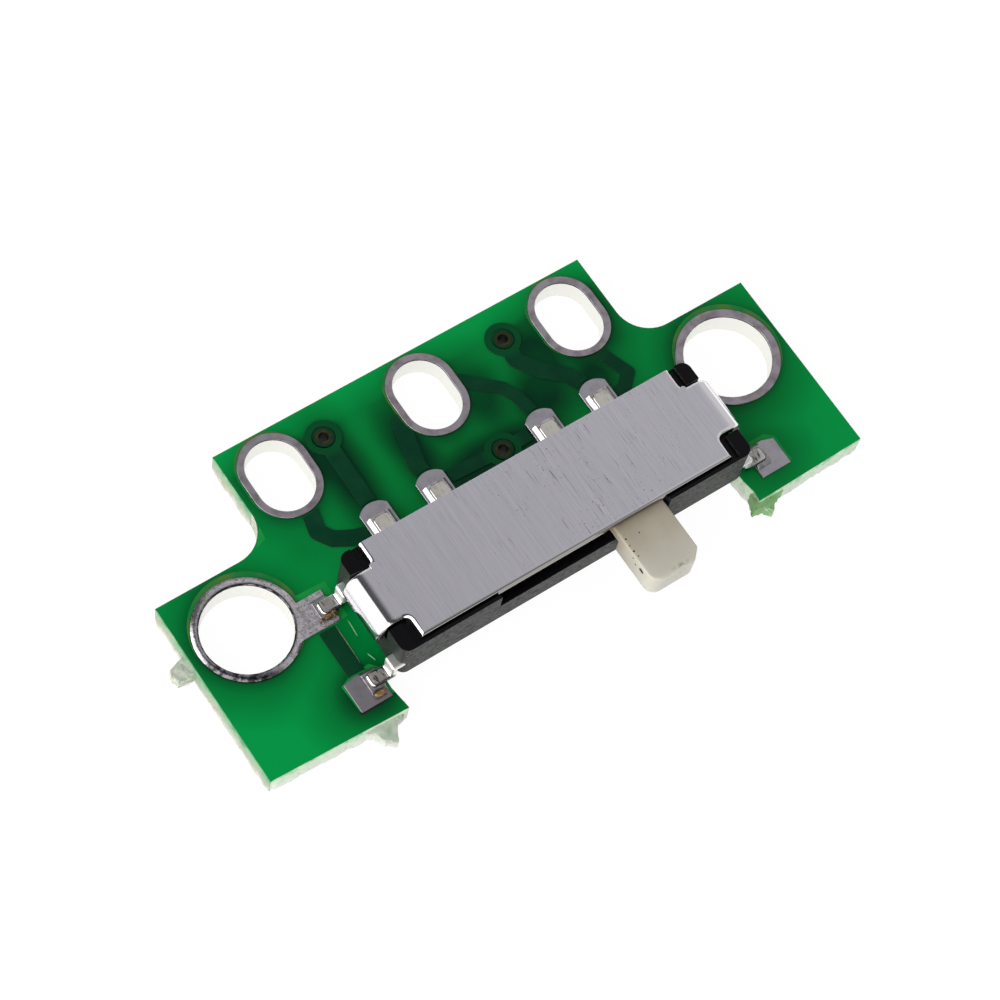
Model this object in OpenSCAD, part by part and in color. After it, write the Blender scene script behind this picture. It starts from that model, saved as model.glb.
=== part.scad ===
// Slide switch on its own small circuit board, in millimetres.
// Origin: midway between the two round post holes, on the underside. X runs along the board,
// the knob points to -Y, Z is up out of the board's switch side.

/* [Board] */
// room for the right back leg between the base's end and the post hole
leg_room = 0.45; // [0.4:0.01:0.6]
// thickness of the laminate
board_t = 0.6; // [0.4:0.05:1.2]
// base's front face to the board's front corners
horn_room = 0.56; // [0.5:0.02:1]
// extra reach of the broken front edge beside the notch
horn_dip = 0.14; // [0.02:0.02:0.3]
// laminate between a post ring and the shoulder
shoulder_edge = 0.2; // [0.1:0.01:0.4]
// post-hole line to the back edge of the tab
back_reach = 3.92; // [3.9:0.02:4.6]
// width of the tab with the pin slots
tab_w = 10.0; // [9.8:0.1:10.6]
// fillet between the tab and the shoulders
tab_fillet = 0.85; // [0.4:0.05:1.2]
// notch past each end of the base
notch_over = 0.11; // [0.05:0.01:0.3]
// middle of the notch
notch_x = 0.19; // [0:0.01:0.4]
// overlap of the base and the notch edge under it
notch_under = 0.36; // [0.25:0.01:0.5]
// length of the longest broken panel nub
nub_l = 0.5; // [0.2:0.02:0.6]
// height of the nubs within the board's thickness
nub_h = 0.34; // [0.2:0.02:0.4]

/* [Plated holes] */
// laminate between a post ring and the board's end
post_edge = 0.18; // [0.1:0.01:0.4]
// inside diameter of a post hole
post_d = 2.1; // [1.8:0.05:2.2]
// width of the ring round a post hole
post_ring = 0.2; // [0.1:0.02:0.24]
// laminate between an outer slot's ring and the tab's side
slot_flank = 0.2; // [0.1:0.01:0.4]
// inside width of a pin slot
slot_w = 1.34; // [1:0.02:1.4]
// inside length of a pin slot
slot_l = 1.84; // [1.6:0.02:1.9]
// width of the ring round a slot
slot_ring = 0.17; // [0.1:0.01:0.2]
// laminate between a slot's ring and the tab's back edge
slot_edge = 0.07; // [0.05:0.01:0.3]
// left via, from the left slot's middle
via_left_gap = 1.34; // [1.3:0.01:1.5]
// right via, from the right slot's middle
via_right_gap = 1.67; // [1.5:0.01:1.8]
// outer vias, from the tab's back edge
via_outer_inset = 0.86; // [0.8:0.01:1]
// middle via, from the switch's middle
via_mid_shift = 0.34; // [0.2:0.01:0.5]
// middle via, from the base's back face
via_mid_off = 0.7; // [0.65:0.01:0.8]
// inside diameter of a via
via_d = 0.24; // [0.16:0.02:0.3]
// diameter of a via's bare rim
via_rim_d = 0.5; // [0.42:0.02:0.6]
// diameter of a via's copper under the mask
via_land_d = 0.86; // [0.7:0.02:1]
// wall of a plated barrel
barrel_t = 0.04; // [0.02:0.01:0.06]
// thickness of pads and rings
plate_t = 0.04; // [0.02:0.01:0.06]
// height of a trace under the mask
trace_h = 0.026; // [0.01:0.002:0.036]
// width of the main traces
trace_w = 0.4; // [0.3:0.02:0.44]
// width of the fine traces
fine_w = 0.32; // [0.2:0.02:0.36]
// bare gap between copper traces and pads
mask_gap = 0.05; // [0.02:0.01:0.1]

/* [Switch body] */
// middle of the switch along the board
switch_x = 0.37; // [0.2:0.01:0.5]
// outer terminal's middle to the base's end
end_over = 1.7; // [1.6:0.01:1.8]
// depth of the moulded base
base_d = 2.68; // [2.5:0.02:2.9]
// post-hole line to the base's back face
back_set = 0.02; // [0.01:0.01:0.1]
// step from the cover's top down to the corner posts and front lip
post_step = 0.1; // [0.05:0.01:0.14]
// gap between the base and the board
base_gap = 0.06; // [0.05:0.01:0.1]
// rounding of the base's corner posts
post_r = 0.22; // [0.1:0.02:0.3]
// gap between the cover's plate and the corner posts
post_gap = 0.2; // [0.1:0.02:0.22]
// thickness of the base's long walls
wall_t = 0.4; // [0.3:0.02:0.5]
// thickness of the base's end walls behind the flaps
end_wall_t = 0.42; // [0.3:0.02:0.5]
// thickness of the base's floor
floor_t = 0.24; // [0.15:0.01:0.3]
// height of the window under the cover
window_h = 0.4; // [0.3:0.02:0.5]
// radius of the click notches in the back wall
click_r = 0.2; // [0.16:0.01:0.22]
// depth of the click notches in the back wall
click_depth = 0.12; // [0.06:0.01:0.16]

/* [Cover] */
// overall height of the switch above the board
switch_h = 1.4; // [1.36:0.01:1.6]
// thickness of the cover's sheet
sheet_t = 0.2; // [0.12:0.01:0.22]
// depth of the cover's corner notches along X
corner_cut = 0.53; // [0.5:0.01:0.6]
// thickness of the base's lip in front of the cover
lip_t = 0.08; // [0.06:0.01:0.2]
// gap between the base's back face and the cover's back edge
cover_set = 0.02; // [0.01:0.01:0.06]
// gap between the base's ends and the bent flaps
flap_gap = 0.05; // [0.03:0.01:0.1]
// width of an end flap
flap_w = 1.4; // [1.2:0.02:1.5]
// straight part of a flap below its bend
flap_straight = 0.06; // [0.02:0.01:0.2]
// outside radius of a flap's bend
bend_r = 0.5; // [0.4:0.01:0.52]
// rounding inside the four corner notches
notch_r = 0.14; // [0.05:0.01:0.18]
// gap between the cover's edges and the moulding
cover_gap = 0.05; // [0.03:0.01:0.06]

/* [Terminals and legs] */
// distance between neighbouring contact positions
pitch = 1.5; // [1.4:0.02:1.5]
// width of a terminal
lead_w = 0.4; // [0.3:0.02:0.5]
// thickness of a terminal
lead_t = 0.12; // [0.08:0.01:0.14]
// length of a terminal past the base's back face
lead_reach = 0.73; // [0.5:0.02:0.9]
// how far a terminal's step stands off the base
lead_step = 0.14; // [0.13:0.01:0.18]
// corner radius of a terminal's foot
lead_tip_r = 0.1; // [0.04:0.01:0.18]
// gap between neighbouring contact lands
land_space = 0.5; // [0.46:0.01:0.6]
// gap between the contact lands and the front wall
land_front = 0.41; // [0.3:0.01:0.5]
// width of the neck between a land and its lead
land_neck = 0.3; // [0.2:0.02:0.34]
// gap between the land's neck and the back wall
land_gap = 0.17; // [0.1:0.01:0.2]
// width of a terminal pad
pad_w = 0.74; // [0.6:0.02:0.8]
// terminal pad past the terminal's tip
pad_over = 0.41; // [0.3:0.01:0.5]
// radius of a terminal pad's round end
pad_end_r = 0.5; // [0.44:0.02:0.7]
// how far a terminal pad runs under the base
pad_under = 0.1; // [0.05:0.01:0.3]
// width of a leg
leg_w = 0.36; // [0.3:0.02:0.4]
// thickness of a leg
leg_t = 0.15; // [0.1:0.01:0.18]
// length of a leg past the base's end
leg_reach = 0.68; // [0.6:0.01:0.75]
// how far a leg's step stands off the base
leg_step = 0.2; // [0.18:0.01:0.24]
// depth of a leg's root in the base
leg_root = 0.3; // [0.2:0.02:0.36]
// height of a leg's root above the base's floor
leg_rise = 0.12; // [0.02:0.01:0.14]
// rounding of a leg's tip
leg_tip_r = 0.1; // [0.05:0.01:0.14]
// moulding in front of a front leg
leg_side = 0.03; // [0.02:0.01:0.1]
// back legs' middle from the base's back face
leg_in = 0.49; // [0.42:0.01:0.5]
// side of a leg pad
leg_pad = 0.8; // [0.7:0.02:0.84]
// base's end to the middle of a leg pad
leg_pad_off = 0.76; // [0.7:0.01:0.8]
// offset of a front leg pad's middle from its leg
leg_pad_shift = 0.1; // [0:0.01:0.16]
// height of a solder fillet
solder_h = 0.1; // [0.06:0.01:0.11]
// spread of a solder fillet beside its lead
solder_w = 0.12; // [0.06:0.01:0.16]

/* [Slider] */
// offset of the window and the slider from the base's middle
slide_shift = 0.12; // [0:0.01:0.15]
// width of the knob
knob_w = 1.36; // [1.2:0.02:1.5]
// length of the knob in front of the base
knob_l = 1.36; // [1:0.02:1.6]
// height of the knob
knob_h = 0.72; // [0.6:0.02:0.9]
// chamfer of the knob's right front corner
knob_chamfer = 0.25; // [0.1:0.01:0.35]
// rounding of the knob's left front corner
knob_r = 0.28; // [0.1:0.02:0.4]
// gap between the knob and the base's front face
knob_gap = 0.08; // [0.05:0.01:0.15]
// running gap of the slider above the sill and below the cover
slide_gap = 0.05; // [0.03:0.01:0.06]
// gap between the carriage and the base's walls
carriage_gap = 0.07; // [0.05:0.01:0.1]
// gap left at each end of the window
window_gap = 0.09; // [0.05:0.01:0.15]
// sheet thickness of the contact wiper
wiper_t = 0.08; // [0.05:0.01:0.09]
// width of the contact wiper
wiper_w = 0.7; // [0.5:0.02:0.8]
// gap drawn between wiper and lands
contact_gap = 0.015; // [0.01:0.001:0.02]
// sheet thickness of the click spring
leaf_t = 0.08; // [0.05:0.01:0.1]
// carriage past each end of the click spring
leaf_end = 1.02; // [0.9:0.01:1.2]
// carriage above and below the click spring
leaf_cheek = 0.1275; // [0.1:0.0025:0.15]
// rise of the click spring from its ends to its crown
leaf_rise = 0.3; // [0.2:0.02:0.34]
// gap drawn between the click spring's crown and the back wall
leaf_gap = 0.02; // [0.01:0.005:0.03]

/* [Hidden] */
$fn = 48;
eps = 0.01;
fit = 0.004;
top = board_t;
base_l = 4 * pitch + 2 * end_over;
base_half = base_l / 2;
base_back = -back_set;
base_front = base_d - back_set;
post_r_in = post_d / 2;
post_ring_r = post_r_in + post_ring;
post_inset = post_ring_r + post_edge;
board_l = base_l + 2 * (switch_x + leg_room + post_r_in + post_inset);
half_l = board_l / 2;
post_pitch = board_l - 2 * post_inset;
front_reach = base_front + horn_room;
shoulder_reach = post_ring_r + shoulder_edge;
slot_pitch = tab_w / 2 - slot_w / 2 - slot_ring - slot_flank;
slot_y = back_reach - slot_l / 2 - slot_ring - slot_edge;
notch_reach = base_front - notch_under;
notch_left = notch_x - base_half - notch_over;
notch_right = notch_x + base_half + notch_over;
via_y = back_reach - via_outer_inset;
via_pos = [[via_left_gap - slot_pitch, via_y], [switch_x + via_mid_shift, back_set + via_mid_off],
    [slot_pitch - via_right_gap, via_y]];
pads_x = [for (k = [-2, -1, 1, 2]) switch_x + k * pitch];
lands_x = [for (k = [-1.5, -0.5, 0.5, 1.5]) switch_x + k * pitch];
land_w = pitch - land_space;
grid = pitch / 10;
pad_reach = back_set + lead_reach + pad_over;
post_h = switch_h - post_step;
deck_h = switch_h - sheet_t;
sill_h = deck_h - window_h;
cover_l = base_l - 2 * corner_cut;
cover_d = base_d - cover_set - cover_gap - lip_t;
cover_front = base_back + cover_set + cover_d;
cover_mid = cover_d / 2 - cover_front;
flap_half = base_half + flap_gap + sheet_t;
flap_drop = bend_r + flap_straight;
bend_x = flap_half - bend_r;
flap_room = bend_x - cover_set;
floor_h = base_gap + floor_t;
land_h = floor_h + lead_t;
land_back = -base_back - wall_t - land_gap;
land_d = base_front - wall_t + land_back - land_neck - land_front;
travel = 2 * pitch;
window_half = (travel + knob_w) / 2 + window_gap;
cavity_half = flap_room - end_wall_t;
cavity_front = base_front - wall_t;
cavity_back = base_back + wall_t;
slide_x = switch_x + slide_shift;
rest_x = slide_x + pitch;
slider_top = deck_h - slide_gap;
knob_low = slider_top - knob_h;
neck_low = sill_h + slide_gap;
carriage_half = cavity_half - slide_shift - travel / 2 - carriage_gap;
wiper_low = land_h + contact_gap;
carriage_low = wiper_low + 2.5 * wiper_t;
carriage_front = cavity_front - carriage_gap;
carriage_back = cavity_back + carriage_gap;
leaf_l = 2 * (carriage_half - leaf_end);
leaf_h = slider_top - carriage_low - 2 * leaf_cheek;
leaf_mid = (carriage_low + slider_top) / 2;
leaf_tip = cavity_back + leaf_gap;
leaf_seat = leaf_tip + leaf_rise + leaf_t;
leg_front = base_front - leg_w / 2 - leg_side;
leg_back = base_back + leg_in;
leg_pad_x = base_half + leg_pad_off;
leg_tip = base_half + leg_reach;
leg_tip_near_post = base_half + leg_room - mask_gap;

// a block from its low corner to its high corner
module block(lo, hi) {
    translate(lo) cube([hi[0] - lo[0], hi[1] - lo[1], hi[2] - lo[2]]);
}

// what is drawn on the +X side of the switch's middle, or its mirror image
module at_end(side) {
    translate([switch_x, 0, 0]) {
        if (side > 0) children();
        else mirror([1, 0, 0]) children();
    }
}

// a slot shape of the given width and length along Y
module slot(w, l, h) {
    translate([0, (l - w) / 2, 0]) cylinder(d = w, h = h);
    translate([0, -(l - w) / 2, 0]) cylinder(d = w, h = h);
    translate([-w / 2, -(l - w) / 2, 0]) cube([w, l - w, h]);
}

module post_at(side) {
    translate([side * post_pitch / 2, 0, 0]) children();
}

module slot_at(k) {
    translate([k * slot_pitch, slot_y, 0]) children();
}

module via_at(k) {
    translate([via_pos[k][0], via_pos[k][1], 0]) children();
}

// the board's outline, with the broken front edge and the notch
module outline() {
    fy = -front_reach - horn_dip;
    step = (front_reach - notch_reach) / 2;
    tab = tab_w / 2;
    polygon([
        [-half_l, -front_reach],
        [notch_left + horn_dip * 0.6, fy],
        [notch_left, -notch_reach - step],
        [notch_left, -notch_reach],
        [notch_right, -notch_reach],
        [notch_right, -notch_reach - step],
        [notch_right + horn_dip * 0.4, fy + horn_dip * 1.8],
        [notch_right + horn_dip * 0.2, fy],
        [half_l, -front_reach - horn_dip * 0.6],
        [half_l, shoulder_reach],
        [tab + tab_fillet, shoulder_reach],
        [tab + tab_fillet, shoulder_reach + tab_fillet],
        [tab, shoulder_reach + tab_fillet],
        [tab, back_reach],
        [-tab, back_reach],
        [-tab, shoulder_reach + tab_fillet],
        [-tab - tab_fillet, shoulder_reach + tab_fillet],
        [-tab - tab_fillet, shoulder_reach],
        [-half_l, shoulder_reach]]);
}

// stubs left where the board was broken out of its panel
module panel_nubs() {
    fy = -front_reach - horn_dip;
    n = nub_l;
    translate([notch_left, fy, 0]) polygon([
        [0.24 * n, 0.4 * n], [-0.2 * n, -0.16 * n], [-0.6 * n, -0.12 * n], [-n, -n],
        [-1.44 * n, -0.7 * n], [-1.7 * n, -0.12 * n], [-2.6 * n, 0.4 * n]]);
    translate([notch_right, fy, 0]) polygon([
        [0.1 * n, 0.6 * n], [-0.24 * n, -0.2 * n], [0.2 * n, -0.24 * n],
        [0.44 * n, -0.66 * n], [0.76 * n, -0.28 * n], [1.44 * n, 0], [2.2 * n, 0.6 * n]]);
    translate([-half_l, 0, 0]) polygon([
        [0.2 * n, -0.56 * n], [-0.3 * n, -0.54 * n], [-0.88 * n, -0.46 * n],
        [-n, -0.1 * n], [-0.92 * n, 0.2 * n], [-0.4 * n, 0.38 * n], [0.2 * n, 0.56 * n]]);
}

module circuit_board() {
    through = board_t + 2 * eps;
    color([0.0, 0.42, 0.18]) difference() {
        union() {
            linear_extrude(board_t) outline();
            translate([0, 0, (board_t - nub_h) / 2]) linear_extrude(nub_h) panel_nubs();
        }
        for (s = [-1, 1]) {
            translate([s * (tab_w / 2 + tab_fillet), shoulder_reach + tab_fillet, -eps])
                cylinder(r = tab_fillet, h = through);
            post_at(s) translate([0, 0, -eps]) cylinder(r = post_r_in + barrel_t, h = through);
            post_at(s) translate([0, 0, -eps]) cylinder(r = post_ring_r, h = plate_t + eps);
        }
        for (k = [-1, 0, 1]) slot_at(k) translate([0, 0, -eps]) {
            slot(slot_w + 2 * barrel_t, slot_l + 2 * barrel_t, through);
            slot(slot_w + 2 * slot_ring, slot_l + 2 * slot_ring, plate_t + eps);
        }
        for (k = [0, 1, 2]) via_at(k) translate([0, 0, -eps]) {
            cylinder(d = via_d + 2 * barrel_t, h = through, $fn = 24);
            cylinder(d = via_rim_d, h = plate_t + eps, $fn = 24);
        }
    }
}

// a plated post hole joined to the pad of the back leg beside it
module post_ring_node(side) {
    pad_in = switch_x + side * (leg_pad_x - leg_pad / 2);
    pad_far = side * (post_pitch / 2 - post_r_in * 0.8);
    pad_y = -leg_back + 0.02;
    color([0.72, 0.71, 0.73]) difference() {
        union() {
            post_at(side) cylinder(r = post_ring_r, h = plate_t);
            post_at(side) cylinder(r = post_r_in + barrel_t, h = top + plate_t);
            post_at(side) translate([0, 0, top]) cylinder(r = post_ring_r, h = plate_t);
            block([min(pad_in, pad_far), pad_y - leg_pad * 0.525, top],
                [max(pad_in, pad_far), pad_y + leg_pad * 0.525, top + plate_t]);
        }
        post_at(side) translate([0, 0, -eps]) cylinder(r = post_r_in, h = top + plate_t + 2 * eps);
    }
}

module left_post_ring() { post_ring_node(-1); }
module right_post_ring() { post_ring_node(1); }

module pin_slot_node(k) {
    color([0.72, 0.71, 0.73]) slot_at(k) difference() {
        union() {
            slot(slot_w + 2 * slot_ring, slot_l + 2 * slot_ring, plate_t);
            slot(slot_w + 2 * barrel_t, slot_l + 2 * barrel_t, top + plate_t);
            translate([0, 0, top]) slot(slot_w + 2 * slot_ring, slot_l + 2 * slot_ring, plate_t);
        }
        translate([0, 0, -eps]) slot(slot_w, slot_l, top + plate_t + 2 * eps);
    }
}

module pin_slot_left() { pin_slot_node(-1); }
module pin_slot_middle() { pin_slot_node(0); }
module pin_slot_right() { pin_slot_node(1); }

module via_node(k) {
    color([0.45, 0.33, 0.24]) via_at(k) difference() {
        union() {
            cylinder(d = via_rim_d, h = plate_t, $fn = 24);
            cylinder(d = via_d + 2 * barrel_t, h = top + plate_t, $fn = 24);
            translate([0, 0, top]) cylinder(d = via_rim_d, h = plate_t, $fn = 24);
        }
        translate([0, 0, -eps]) cylinder(d = via_d, h = top + plate_t + 2 * eps, $fn = 24);
    }
}

module via_left() { via_node(0); }
module via_middle() { via_node(1); }
module via_right() { via_node(2); }

// round-ended pad under a terminal
module terminal_pad_shape(k, grow, h) {
    intersection() {
        translate([pads_x[k] - pad_w / 2 - grow, -pad_under - grow, top])
            cube([pad_w + 2 * grow, pad_reach + pad_under + 2 * grow, h]);
        translate([pads_x[k], pad_reach - pad_end_r, top - eps]) union() {
            cylinder(r = pad_end_r + grow, h = h + 2 * eps);
            translate([-pad_w, -2 * pad_reach, 0]) cube([2 * pad_w, 2 * pad_reach, h + 2 * eps]);
        }
    }
}

module terminal_pad_node(k) {
    color([0.66, 0.65, 0.68]) terminal_pad_shape(k, 0, plate_t);
}

module terminal_pad_1() { terminal_pad_node(0); }
module terminal_pad_2() { terminal_pad_node(1); }
module terminal_pad_3() { terminal_pad_node(2); }
module terminal_pad_4() { terminal_pad_node(3); }

// pad of a front leg, its back edge slightly peaked
module leg_pad_shape(side, grow, h) {
    x = switch_x + side * leg_pad_x;
    y = -leg_front - leg_pad_shift;
    p = leg_pad / 2 + grow;
    peak = leg_pad * 0.12;
    translate([0, 0, top]) linear_extrude(h) polygon([
        [x - p, y - p], [x + p, y - p], [x + p, y + p - peak],
        [x + p * 0.3, y + p], [x - p * 0.3, y + p], [x - p, y + p - peak * 0.5]]);
}

module leg_pad_front_left() {
    color([0.60, 0.58, 0.62]) leg_pad_shape(-1, 0, plate_t);
}

module leg_pad_front_right() {
    color([0.60, 0.58, 0.62]) leg_pad_shape(1, 0, plate_t);
}

// a straight run of copper with round ends
module run(a, b, w) {
    turn = atan2(b[1] - a[1], b[0] - a[0]);
    translate([a[0], a[1], top]) {
        rotate([0, 0, turn]) translate([0, -w / 2, 0])
            cube([norm([b[0] - a[0], b[1] - a[1]]), w, trace_h]);
        cylinder(d = w, h = trace_h, $fn = 24);
    }
    translate([b[0], b[1], top]) cylinder(d = w, h = trace_h, $fn = 24);
}

module path(points, w) {
    for (i = [0 : len(points) - 2]) run(points[i], points[i + 1], w);
}

// the strips of copper under the mask, with bends on a grid of a tenth of the contact pitch
module copper_traces() {
    slot_low = slot_y - slot_l / 2;
    pad_in = pad_reach - 2 * grid;
    leg_x = switch_x - leg_pad_x;
    gone = trace_h + 2 * eps;
    color([0.02, 0.22, 0.13]) difference() {
        union() {
            path([via_pos[0], [pads_x[0], pad_in]], trace_w);
            path([[-slot_pitch + 0.8 * grid, slot_low], [-26.6 * grid, 7.7 * grid],
                [-25.3 * grid, 5.7 * grid], [-22.7 * grid, 4.3 * grid],
                [pads_x[0] - grid, 3 * grid]], trace_w);
            path([[-6 * grid, slot_y - 1.7 * grid], [pads_x[1] - 0.4 * grid, pad_reach + 1.4 * grid],
                [pads_x[1], pad_in]], trace_w);
            path([[slot_w / 2, slot_y + 0.6 * grid], [7 * grid, 16.5 * grid], [10.5 * grid, 13.5 * grid],
                [11.7 * grid, 11 * grid], [pads_x[2], pad_in]], fine_w);
            path([[pads_x[1] + 2 * grid, 5.3 * grid], via_pos[1],
                [pads_x[2] - 2 * grid, 4.9 * grid]], fine_w);
            path([via_pos[2], [15 * grid, 16.3 * grid], [17.3 * grid, 13 * grid],
                [20.3 * grid, 10.3 * grid], [pads_x[3], pad_in]], trace_w);
            path([[slot_pitch, slot_low], [27.9 * grid, 8.1 * grid], [28.8 * grid, 5.9 * grid],
                [26.8 * grid, 4 * grid], [pads_x[3] + grid, 3.3 * grid]], fine_w);
            path([[leg_x, -leg_back - grid], [leg_x, grid - leg_front]], trace_w);
            for (k = [0, 1, 2]) via_at(k) translate([0, 0, top])
                cylinder(d = via_land_d, h = trace_h, $fn = 32);
        }
        for (k = [0, 1, 2]) via_at(k) translate([0, 0, top - eps])
            cylinder(d = via_rim_d + mask_gap, h = gone, $fn = 24);
        for (k = [-1, 0, 1]) slot_at(k) translate([0, 0, top - eps])
            slot(slot_w + 2 * slot_ring + 2 * mask_gap, slot_l + 2 * slot_ring + 2 * mask_gap, gone);
        for (k = [0 : 3]) translate([0, 0, -eps]) terminal_pad_shape(k, mask_gap, gone);
        translate([0, 0, -eps]) leg_pad_shape(-1, mask_gap, gone);
        block([-post_pitch / 2, -leg_back + 0.02 - leg_pad * 0.525 - mask_gap, top - eps],
            [leg_x + leg_pad / 2 + mask_gap, leg_pad, top + gone]);
    }
}

module switch_base() {
    x0 = switch_x - base_half;
    x1 = switch_x + base_half;
    z0 = top + base_gap;
    z1 = top + post_h;
    over = top + 2 * switch_h;
    seat = cover_l / 2 + post_gap;
    color([0.05, 0.05, 0.06]) difference() {
        union() {
            block([x0 + post_r, -base_front, z0], [x1 - post_r, -base_back, z1]);
            block([x0, -base_front + post_r, z0], [x1, -base_back - post_r, z1]);
            for (x = [x0 + post_r, x1 - post_r]) for (y = [-base_front + post_r, -base_back - post_r])
                translate([x, y, z0]) cylinder(r = post_r, h = z1 - z0);
        }
        // seat of the cover, open to the back
        block([switch_x - seat, -cover_front - cover_gap, top + deck_h], [switch_x + seat, wall_t, over]);
        // room for the bent end flaps
        for (s = [-1, 1]) at_end(s) {
            block([seat - eps, cover_mid - flap_w / 2 - cover_gap, top + deck_h],
                [flap_half, cover_mid + flap_w / 2 + cover_gap, over]);
            block([flap_room, cover_mid - flap_w / 2 - cover_gap, top + switch_h - flap_drop - cover_gap],
                [flap_half, cover_mid + flap_w / 2 + cover_gap, over]);
        }
        // room for the carriage
        block([switch_x - cavity_half, -cavity_front, top + floor_h],
            [switch_x + cavity_half, -cavity_back, over]);
        // window in the front wall
        block([slide_x - window_half, -base_front - wall_t, top + sill_h],
            [slide_x + window_half, -cavity_front + eps, over]);
        // click notches in the back wall
        for (k = [-1, 0, 1])
            translate([slide_x + k * pitch, click_depth - cavity_back - click_r, top + leaf_mid - leaf_h])
                cylinder(r = click_r, h = 2 * leaf_h, $fn = 32);
        // ways of the terminals
        for (k = [0 : 3]) block([pads_x[k] - lead_w / 2 - fit, -cavity_back - eps, top + floor_h - fit],
            [pads_x[k] + lead_w / 2 + fit, wall_t, top + land_h + fit]);
        // pockets of the legs
        for (s = [-1, 1]) for (y = [-leg_front, -leg_back]) at_end(s)
            block([base_half - leg_root - fit, y - leg_w / 2 - fit, top + floor_h + leg_rise - fit],
                [leg_tip, y + leg_w / 2 + fit, top + floor_h + leg_rise + leg_t + fit]);
    }
}

// one end flap with its round bend, on the +X side of the switch's middle
module end_flap() {
    y0 = cover_mid - flap_w / 2;
    y1 = cover_mid + flap_w / 2;
    zt = top + switch_h;
    block([cover_l / 2 - eps, y0, zt - sheet_t], [bend_x, y1, zt]);
    block([flap_half - sheet_t, y0, zt - flap_drop], [flap_half, y1, zt - bend_r]);
    intersection() {
        translate([bend_x, y0, zt - bend_r]) rotate([-90, 0, 0]) difference() {
            cylinder(r = bend_r, h = flap_w);
            translate([0, 0, -eps]) cylinder(r = bend_r - sheet_t, h = flap_w + 2 * eps);
        }
        block([bend_x, y0 - eps, zt - bend_r], [flap_half + eps, y1 + eps, zt + eps]);
    }
    // rounded inner corners of the notches
    for (s = [-1, 1]) difference() {
        translate([cover_l / 2 - eps, cover_mid + s * (flap_w + notch_r) / 2 - notch_r / 2, zt - sheet_t])
            cube([notch_r + eps, notch_r, sheet_t]);
        translate([cover_l / 2 + notch_r, cover_mid + s * (flap_w / 2 + notch_r), zt - 2 * sheet_t])
            cylinder(r = notch_r, h = 3 * sheet_t, $fn = 32);
    }
}

module switch_cover() {
    color([0.70, 0.69, 0.72]) {
        block([switch_x - cover_l / 2, -cover_front, top + deck_h],
            [switch_x + cover_l / 2, cover_d - cover_front, top + switch_h]);
        at_end(1) end_flap();
        at_end(-1) end_flap();
    }
}

// a terminal: land on the floor, way through the back wall, step down, foot on its pad
module terminal_node(k) {
    px = pads_x[k];
    lx = lands_x[k];
    half = lead_w / 2;
    back = -base_back;
    step = back + lead_step;
    foot_end = back + lead_reach;
    r = lead_tip_r;
    low = top + floor_h;
    high = top + land_h;
    foot = top + plate_t;
    color([0.78, 0.76, 0.74]) {
        block([lx - land_w / 2, land_back - land_neck - land_d, low], [lx + land_w / 2, land_back, high]);
        block([min(px - half, lx), land_back - land_neck, low], [max(px + half, lx), land_back, high]);
        block([px - half, land_back - land_neck, low], [px + half, step, high]);
        block([px - half, step - lead_t, foot], [px + half, step, high]);
        block([px - half, step - lead_t, foot], [px + half, foot_end - r, foot + lead_t]);
        block([px - half + r, foot_end - r - eps, foot], [px + half - r, foot_end, foot + lead_t]);
        for (s = [-1, 1]) translate([px + s * (half - r), foot_end - r, foot])
            cylinder(r = r, h = lead_t, $fn = 32);
    }
}

module terminal_1() { terminal_node(0); }
module terminal_2() { terminal_node(1); }
module terminal_3() { terminal_node(2); }
module terminal_4() { terminal_node(3); }

// a leg on the +X side of the switch's middle: root in the base, step down, foot on its pad
module leg_shape(y, tip) {
    w = leg_w / 2;
    r = leg_tip_r;
    out = base_half + leg_step;
    foot = top + plate_t;
    low = top + floor_h + leg_rise;
    block([base_half - leg_root, y - w, low], [out, y + w, low + leg_t]);
    block([out - leg_t, y - w, foot], [out, y + w, low + leg_t]);
    block([out - leg_t, y - w, foot], [tip - r, y + w, foot + leg_t]);
    block([tip - r - eps, y - w + r, foot], [tip, y + w - r, foot + leg_t]);
    for (s = [-1, 1]) translate([tip - r, y + s * (w - r), foot]) cylinder(r = r, h = leg_t, $fn = 32);
}

module leg_node(side, y, tip) {
    color([0.82, 0.81, 0.80]) at_end(side) leg_shape(y, tip);
}

module leg_front_left() { leg_node(-1, -leg_front, leg_tip); }
module leg_front_right() { leg_node(1, -leg_front, leg_tip); }
module leg_back_left() { leg_node(-1, -leg_back, leg_tip); }
module leg_back_right() { leg_node(1, -leg_back, leg_tip_near_post); }

// cross-section of a solder fillet round a lead of width w
module fillet_section(w) {
    lip = solder_w / 4;
    polygon([[-w / 2 - solder_w, 0], [w / 2 + solder_w, 0],
        [w / 2 + lip, solder_h], [-w / 2 - lip, solder_h]]);
}

module solder_terminal_node(k) {
    px = pads_x[k];
    half = lead_w / 2;
    r = lead_tip_r;
    y0 = -base_back + lead_step + solder_w / 2;
    y1 = -base_back + lead_reach;
    y2 = y1 + solder_w / 2;
    color([0.75, 0.74, 0.74]) difference() {
        translate([px, y2, top + plate_t]) rotate([90, 0, 0])
            linear_extrude(y2 - y0) fillet_section(lead_w);
        block([px - half, y0 - 1, top], [px + half, y1 - r, top + 1]);
        block([px - half + r, y1 - 2 * r, top], [px + half - r, y1, top + 1]);
        for (s = [-1, 1]) translate([px + s * (half - r), y1 - r, top]) cylinder(r = r, h = 1, $fn = 32);
    }
}

module solder_terminal_1() { solder_terminal_node(0); }
module solder_terminal_2() { solder_terminal_node(1); }
module solder_terminal_3() { solder_terminal_node(2); }
module solder_terminal_4() { solder_terminal_node(3); }

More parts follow.
